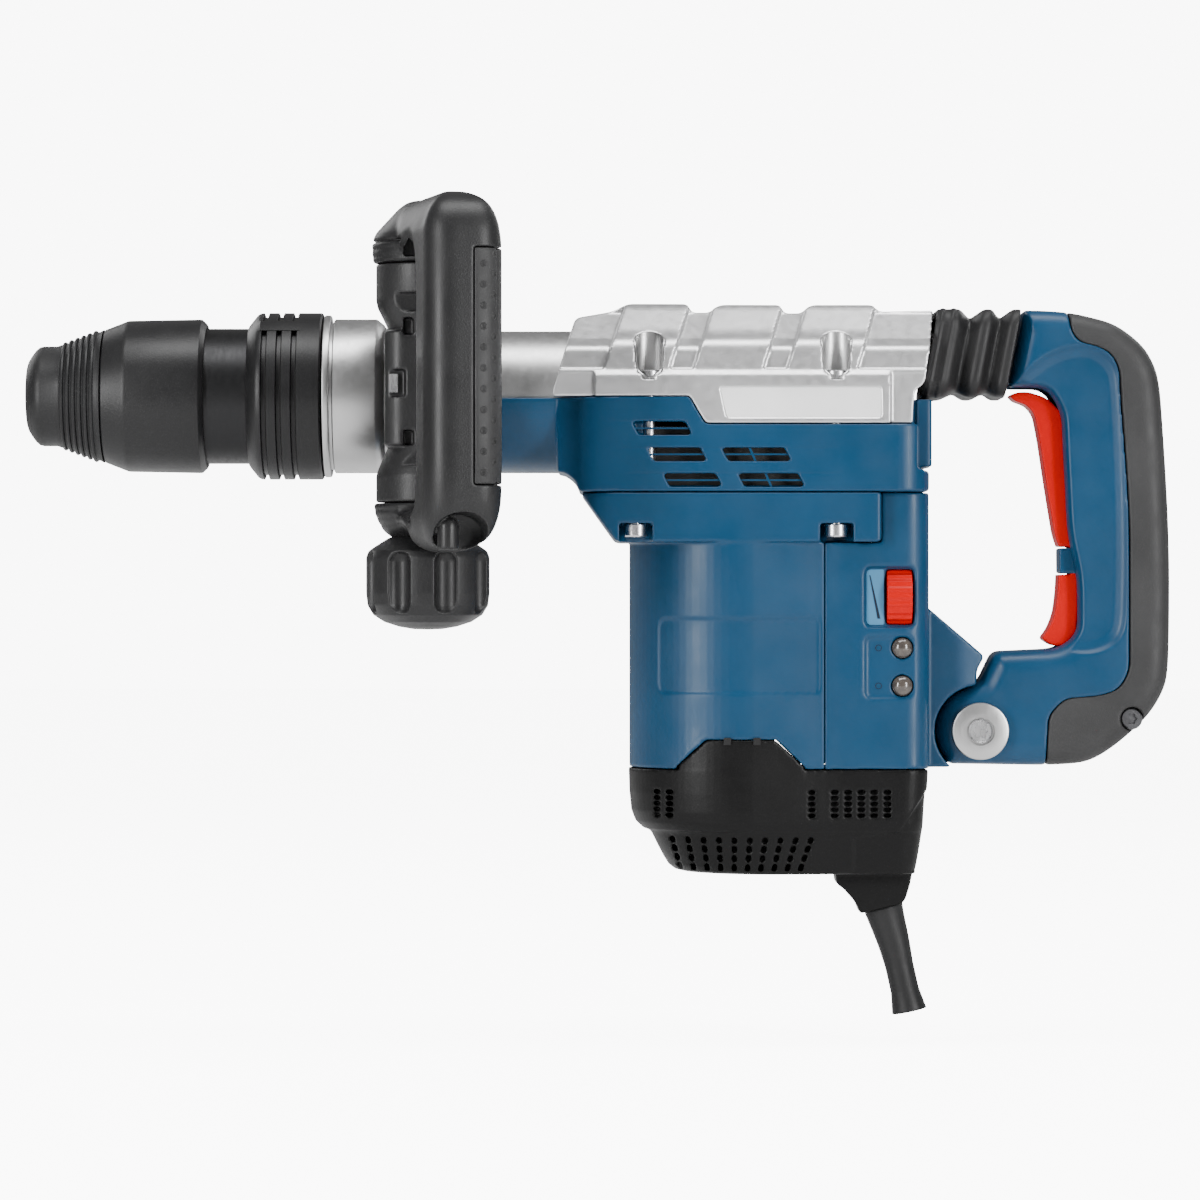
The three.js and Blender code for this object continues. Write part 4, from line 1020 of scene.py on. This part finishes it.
def bellows_ring(x, half, dip, wall):
    top = 36.2 - dip - wall
    low = -1.2 + dip * 0.6 + wall
    edge = half - wall
    points = []
    for cy, cz, start in ((edge - 8, top - 8, 0), (8 - edge, top - 8, 90), (8 - edge, low + 8, 180),
        (edge - 8, low + 8, 270)):
        points += arc(cy, cz, 8, start, start + 90, 10)
    return [(leaning(x, z), y, z) for y, z in points]


def bellows():
    control = [(386.4, 25, 0), (391, 25.2, -0.1), (395.6, 25.1, 0), (398.6, 22.6, 2), (401, 20.4, 3.6),
        (403.4, 22.6, 2),
               (406.2, 25, 0.1), (409.6, 24.8, 0.2), (412, 21.8, 2.4), (414, 20.4, 3.4), (416, 22.6, 1.8),
               (418.4, 24.9, 0.1), (421.8, 25, 0)]
    waves = spline([Vector(c) for c in control], 4)
    outer = [bellows_ring(*w, 0) for w in waves]
    inner = [bellows_ring(*w, 2.4) for w in waves]
    body = loft(outer + inner[::-1], closed=True)
    ribs = []
    for x in (388.6, 393.2):
        shape = [(x - 0.35, -10), (x + 0.35, -10), (x + 0.35, 50), (x - 0.35, 50)]
        ribs.append(side([(leaning(a, b), b) for a, b in shape], -30, 30))
    grown = [bellows_ring(x, 25.7, -0.6, 0) for x in (386.6, 395)]
    inside = [bellows_ring(x, 25, 0, 1) for x in (385, 397)]
    band = common(cut(loft(grown), loft(inside)), join(*ribs))
    made = mould(join(body, band), 0.6, 2)
    made.name = "rubber_bellows"
    made.data.transform(PLACE)
    dress(made, RUBBER)
    made.data.shade_smooth()
    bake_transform(made)
    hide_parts("bellows")


def bellows_end():
    """The rubber wall that closes the bellows behind the handle's arm, open only for the spring."""
    low, high = drawn_box("handle_spring")
    centre = (low + high) / 2
    radius = (high.y - low.y) / 2 + 1
    wall = loft([bellows_ring(x, 25, 0, 1.8) for x in (418.4, 421.2)])
    hole = turned(rod(380, 440, radius), "x", (0, centre.y, centre.z), 48)
    place(mould(cut(wall, hole), 0.6, 2), "bellows_wall", "rear_handle", RUBBER, (), 60)


# ---------- auxiliary handle ----------
def to_bail(obj):
    """Turns a piece drawn along the bail's arms, with the bolt at zero, into place."""
    turn = Matrix.Rotation(math.radians(-90 + BAIL_TURN), 4, "Z")
    obj.data.transform(Matrix.Translation((BOLT.x, BOLT.y, 0)) @ turn)
    return obj


def clamp_body():
    bx, by = BOLT.x, BOLT.y
    band = turned(tube(157, 186, 29.3, 33.6))
    front = plan([(153.8, by - 11, 3), (153.8, -27), (189.8, -27), (189.8, by - 11, 3), (184, by - 15, 3),
        (159.6, by - 15, 3)], -22.5, 25)
    ears = [
        turned([(20, 0), (20, 14), (29, 18), (35, 21), (38, 21.6), (53.1, 21.6), (53.1, 0)], "z",
            (bx, by, 0), 64),
        turned([(-46.1, 0), (-46.1, 21.6), (-35, 21.6), (-32, 20.6), (-26, 18), (-18, 14), (-18, 0)], "z",
            (bx, by, 0), 64),
    ]
    body = cut(join(front, *ears), turned(rod(140, 200, 29.3)))
    body = join(body, band)
    notches = [block(162, 166.4, by - 19, by - 11, z, z + h) for z, h in ((23.4, 7), (-22.6, 6.4))]
    steps = [block(155, 172, by - 24, by - 17, z, z + 7.6) for z in (33, -31)]
    slot = block(155.4, 163, by - 19, by - 12.4, -2.4, 9)
    body = cut(body, upright(bx, by, -60, 60, 4.6), *notches, *steps, slot)
    place(mould(body, 0.6, 3), "swivel_clamp", "clamp", GREY, ["clamp_body"], 60)
    place(block(156.2, 159.8, by - 14.6, by - 11, -0.6, 7), "clamp_nut", "clamp", STEEL, ())
    place(upright(bx, by, -88, 70, 4.1), "long_bolt", "clamp", STEEL, ["clamp_bolt"])


BAIL_OUTER = [
    (-14, 79), (40, 80, 10), (62, 79.6, 10), (72, 76, 8), (78, 68, 8), (79.6, 56, 10), (79.8, -38, 14),
    (78.4, -50, 8), (74, -60, 8),
    (64, -66.6, 8), (44, -67.6, 8), (31, -66, 3), (27, -61.4, 2), (-14, -60),
]
BAIL_INNER = [
    (-14, -46.4), (20, -46.4, 2), (34, -50, 6), (42, -46, 6), (45, -36, 8), (45.4, 44, 8), (42, 54, 8),
    (34, 58, 6),
    (20, 53.4, 2), (-14, 53.4),
]
SHOULDERS = [  # the loop seen from outside: across, height
    (-16.8, 0), (-16.8, 50), (-16.2, 64), (-12.6, 74), (-6, 79), (-1, 80), (4, 79), (9.6, 75.4),
    (13.2, 69.6), (15.6, 60), (16.8, 46),
    (16.8, 0), (16.8, -34), (16.2, -46), (13.2, -58), (8.6, -64), (1, -67.4), (-7, -67.6), (-12.8, -64),
    (-16, -55), (-16.8, -40),
]


def bail_solid():
    loop = rounded_slab(corners(BAIL_OUTER + BAIL_INNER), BAIL_HALF, 11, 8)
    loop = common(loop, section(spline(SHOULDERS, 4, closed=True), -30, 90))
    hubs = [
        turned([(53.4, 0), (53.4, 23), (62, 23.4), (66, 22), (76.4, 12.4), (79, 9), (80, 5), (80, 0)], "z",
            (0, 0, 0), 64),
        turned([(-64.6, 0), (-64.6, 8), (-62.6, 12.4), (-58, 18.6), (-52, 21.8), (-46.4, 22.8), (-46.4, 0)],
            "z", (0, 0, 0), 64),
    ]
    return mould(join(loop, *hubs), 0.9, 14)


def pad_patch(inset):
    """Where the soft pad sits: an L over the rear outer corner of the grip."""
    top, foot = 55.6 - inset, -40 + inset
    face = side([(58, top, 3), (95, top), (95, foot), (58, foot, 3)], PAD_START + inset, 30)
    core = block(30, 76.4 + inset, -30, BAIL_HALF - 3.2 + inset, -90, 90)
    return cut(face, core)


def bail():
    solid = bail_solid()
    spare = duplicate(solid)
    cuts = [upright(0, 0, -90, 72, 4.6), pad_patch(-0.35)]
    for z, radius in ((56, 22.2), (59.2, 22.2), (62.4, 21.8), (-49.4, 21.2), (-52.4, 20.2), (-55.4, 18.6)):
        ring = turned(tube(z - 0.6, z + 0.6, radius, 26), "z", (0, 0, 0), 64)
        cuts.append(cut(ring, block(-6, 40, -6, 40, -90, 90)))
    cuts.append(cut(side([(60, -36), (95, -36), (95, 58), (60, 58)], -14.1, -13.5),
        block(30, 77.2, -30, 30, -90, 90)))
    scoop = turned([(60, 0), (61, 7), (64, 10.4), (74, 11.4), (95, 12), (95, 0)], "x", (0, 0, 0), 48)
    scoop.data.transform(Matrix.Translation((0, -1, -60.5)) @ Matrix.Scale(0.82, 4, (0, 0, 1)))
    cuts.append(scoop)
    cuts.append(block(2, 32, -14, 14, 55.4, 65.4))
    frame_piece = cut(solid, *cuts)
    post = turned([(-66.4, 0), (-66.4, 4.4), (-56.6, 4.4), (-54.4, 3.6), (-53.4, 2), (-53, 0)], "z",
        (69.4, -6, 0), 32)
    frame_piece = join(frame_piece, post)
    place(to_bail(mould(frame_piece, 0.6, 2)), "bail_grip", "bail", BLACK, ["bail_frame"],
        60)
    pad = mould(common(spare, pad_patch(0)), 0.6, 3)
    dimples = []
    for row in range(11):
        z = 49 - row * 8.43
        for x, y, rise in ((78.2, 6.6, 0), (76.6, 11.4, 4.2)):
            pit = [(x, 0), (x + 1, 1.6), (84, 1.7), (84, 0)]
            dimples.append(turned(pit, "x", (0, y, z + rise), 16))
        for x, rise in ((72, 0), (66, 4.2)):
            pit = [(14.4, 0), (15.4, 1.6), (20, 1.7), (20, 0)]
            dimples.append(turned(pit, "y", (x, 0, z + rise), 16))
    pad = cut(pad, *dimples)
    place(to_bail(pad), "grip_pad", "bail", SOFT, ["bail_pad"], 40)


def knob():
    x, y = BOLT.x, BOLT.y
    profile = [(-99.2, 0), (-99, 6), (-98, 12), (-96, 18.2), (-93, 22.8), (-89, 25.2), (-84, 25.8),
        (-69, 25.8), (-66.4, 24.8),
               (-64.4, 22), (-61, 16.6), (-60.4, 15), (-60.4, 13), (-63.6, 11), (-63.6, 0)]
    flute = [(-94.6, 0), (-93.6, 2.6), (-91.4, 4.4), (-89, 5.1), (-70.4, 5.1), (-67.8, 4), (-66.6, 2),
        (-66.2, 0)]
    body = turned(profile, "z", (x, y, 0))
    cuts = []
    for i in range(8):
        t = 2 * math.pi * (i + 0.5) / 8 - 0.06
        cuts.append(turned(flute, "z", (x + 26.6 * math.cos(t), y + 26.6 * math.sin(t), 0), 24))
    body = cut(body, *cuts, upright(x, y, -90, -60, 4.6))
    place(mould(body, 0.5, 3), "round_knob", "knob", BLACK, ["clamp_knob"], 60)


# ---------- pieces shown as they are in the CAD ----------
INNER = {
    "hammer_cylinder": STEEL, "stator": IRON, "upper_motor_bearing": STEEL, "lower_motor_bearing": STEEL,
    "crank_bearing": STEEL, "brush_holder_left": COPPER, "brush_holder_right": COPPER, "brush_left": CARBON_AND_SHADE,
    "brush_right": CARBON_AND_SHADE, "electronics_module": CIRCUIT, "motor_shaft": STEEL,
    "armature_core": IRON, "commutator": COPPER, "fan": BLACK, "crankshaft": STEEL, "crank_gear": STEEL,
    "piston": STEEL, "piston_pin": STEEL, "connecting_rod": STEEL, "striker": STEEL, "beat_piece": STEEL,
    "locking_roller_left": STEEL, "locking_roller_right": STEEL, "switch_module": BLACK,
}


def inner_pieces():
    for name, material in INNER.items():
        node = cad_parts[name]
        dress(node, material)
        bevel = node.modifiers.new("edges", "BEVEL")
        bevel.width = 0.25 * MM
        bevel.segments = 2
        bevel.limit_method = "ANGLE"
        bevel.angle_limit = math.radians(40)


def spring_copy(node):
    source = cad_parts[node]
    made = duplicate(source)
    made.name = node + "_coil"
    made.data.transform(source.matrix_world)
    dress(made, STEEL)
    made.data.shade_smooth()
    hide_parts(node)
    return made


def springs():
    """Steel copies of the two springs, which in the hammer shorten as the handle swings and as the sleeve is
    pulled; here both keep their shape, and the sleeve's spring hangs on the chuck.
    """
    coil = spring_copy("handle_spring")
    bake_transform(coil)
    coil = spring_copy("sleeve_spring")
    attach(coil, "chuck")
    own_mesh(coil)


# ---------- stage ----------
LIGHTS = [  # name, metres behind the middle of the hammer, y, z, size in metres, watts
    ("left_softbox", -1.3, -1.35, 0.25, (0.3, 1.3), 38),
    ("right_softbox", 1.3, -1.35, 0.25, (0.3, 1.3), 38),
    ("top", 0.1, -0.35, 1.7, (1.8, 0.7), 42),
    ("back_left", -1.2, 1.5, 0.9, (0.8, 1.2), 11),
    ("back_right", 1.2, 1.5, 0.9, (0.8, 1.2), 11),
]
FILL_STRENGTH = 0.25  # of the white surroundings that light the hammer
PAPER_STRENGTH = 9  # of the background that only the camera sees
FLOOR_GLOW = 8.4
FLOOR_DROP = 0.012  # metres from the hammer's lowest point down to the floor
FLOOR_HALF = 9
CAMERA_AT = (243.7, -2260, -86.8)
CAMERA_LENS = 159


def area_light(name, where, aim, size, power):
    data = bpy.data.lights.new(name, "AREA")
    data.shape = "RECTANGLE"
    data.size, data.size_y = size
    data.energy = power
    lamp = linked(name, data)
    lamp.location = where
    lamp.rotation_euler = (Vector(aim) - Vector(where)).to_track_quat("-Z", "Y").to_euler()


def stage():
    low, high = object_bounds()
    centre = (low + high) / 2
    z = low.z - FLOOR_DROP
    rim = [(a * FLOOR_HALF, b * FLOOR_HALF, z) for a, b in ((-1, -1), (1, -1), (1, 1), (-1, 1))]
    floor = mesh_object("floor", rim, [(0, 1, 2, 3)])
    pale = Shader("pale_floor", (0.93, 0.93, 0.93), 0.7)
    pale.vary_roughness(pale.noise(3), 0.65, 0.75)
    pale.shown_to_camera(FLOOR_GLOW)
    floor.data.materials.append(pale.material)
    floor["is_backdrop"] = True
    world = bpy.data.worlds.new("studio")
    world.use_nodes = True
    nodes, links = world.node_tree.nodes, world.node_tree.links
    fill = nodes["Background"]
    paper = nodes.new("ShaderNodeBackground")
    set_inputs(fill, {"Strength": FILL_STRENGTH, "Color": WHITE})
    set_inputs(paper, {"Strength": PAPER_STRENGTH, "Color": WHITE})
    seen = nodes.new("ShaderNodeLightPath").outputs["Is Camera Ray"]
    choose = nodes.new("ShaderNodeMixShader")
    links.new(seen, choose.inputs[0])
    links.new(fill.outputs[0], choose.inputs[1])
    links.new(paper.outputs[0], choose.inputs[2])
    links.new(choose.outputs[0], nodes["World Output"].inputs["Surface"])
    bpy.context.scene.world = world
    for name, x, y, z, size, power in LIGHTS:
        area_light(name, (centre.x + x, y, z), centre, size, power)


def camera():
    """Square on to the left side, from far enough away for a nearly flat view."""
    data = bpy.data.cameras.new("camera")
    data.lens = CAMERA_LENS
    data.sensor_width = 36
    data.clip_end = 50
    made = linked("camera", data)
    made.location = PLACE @ Vector(CAMERA_AT)
    made.rotation_euler = (math.pi / 2, 0, 0)
    bpy.context.scene.camera = made


for build in (
    dust_cap, locking_sleeve, tool_holder, ribbed_ring, barrel, casting, casting_screws, gear_cover,
    motor_housing, rear_housing, lamps, speed_wheel, bottom_cap, cord_guard, handle_shells, overmould,
    switch_rocker, pivot_bolt, bellows, bellows_end, clamp_body, bail, knob, inner_pieces, springs,
    stage, camera,
):
    build()
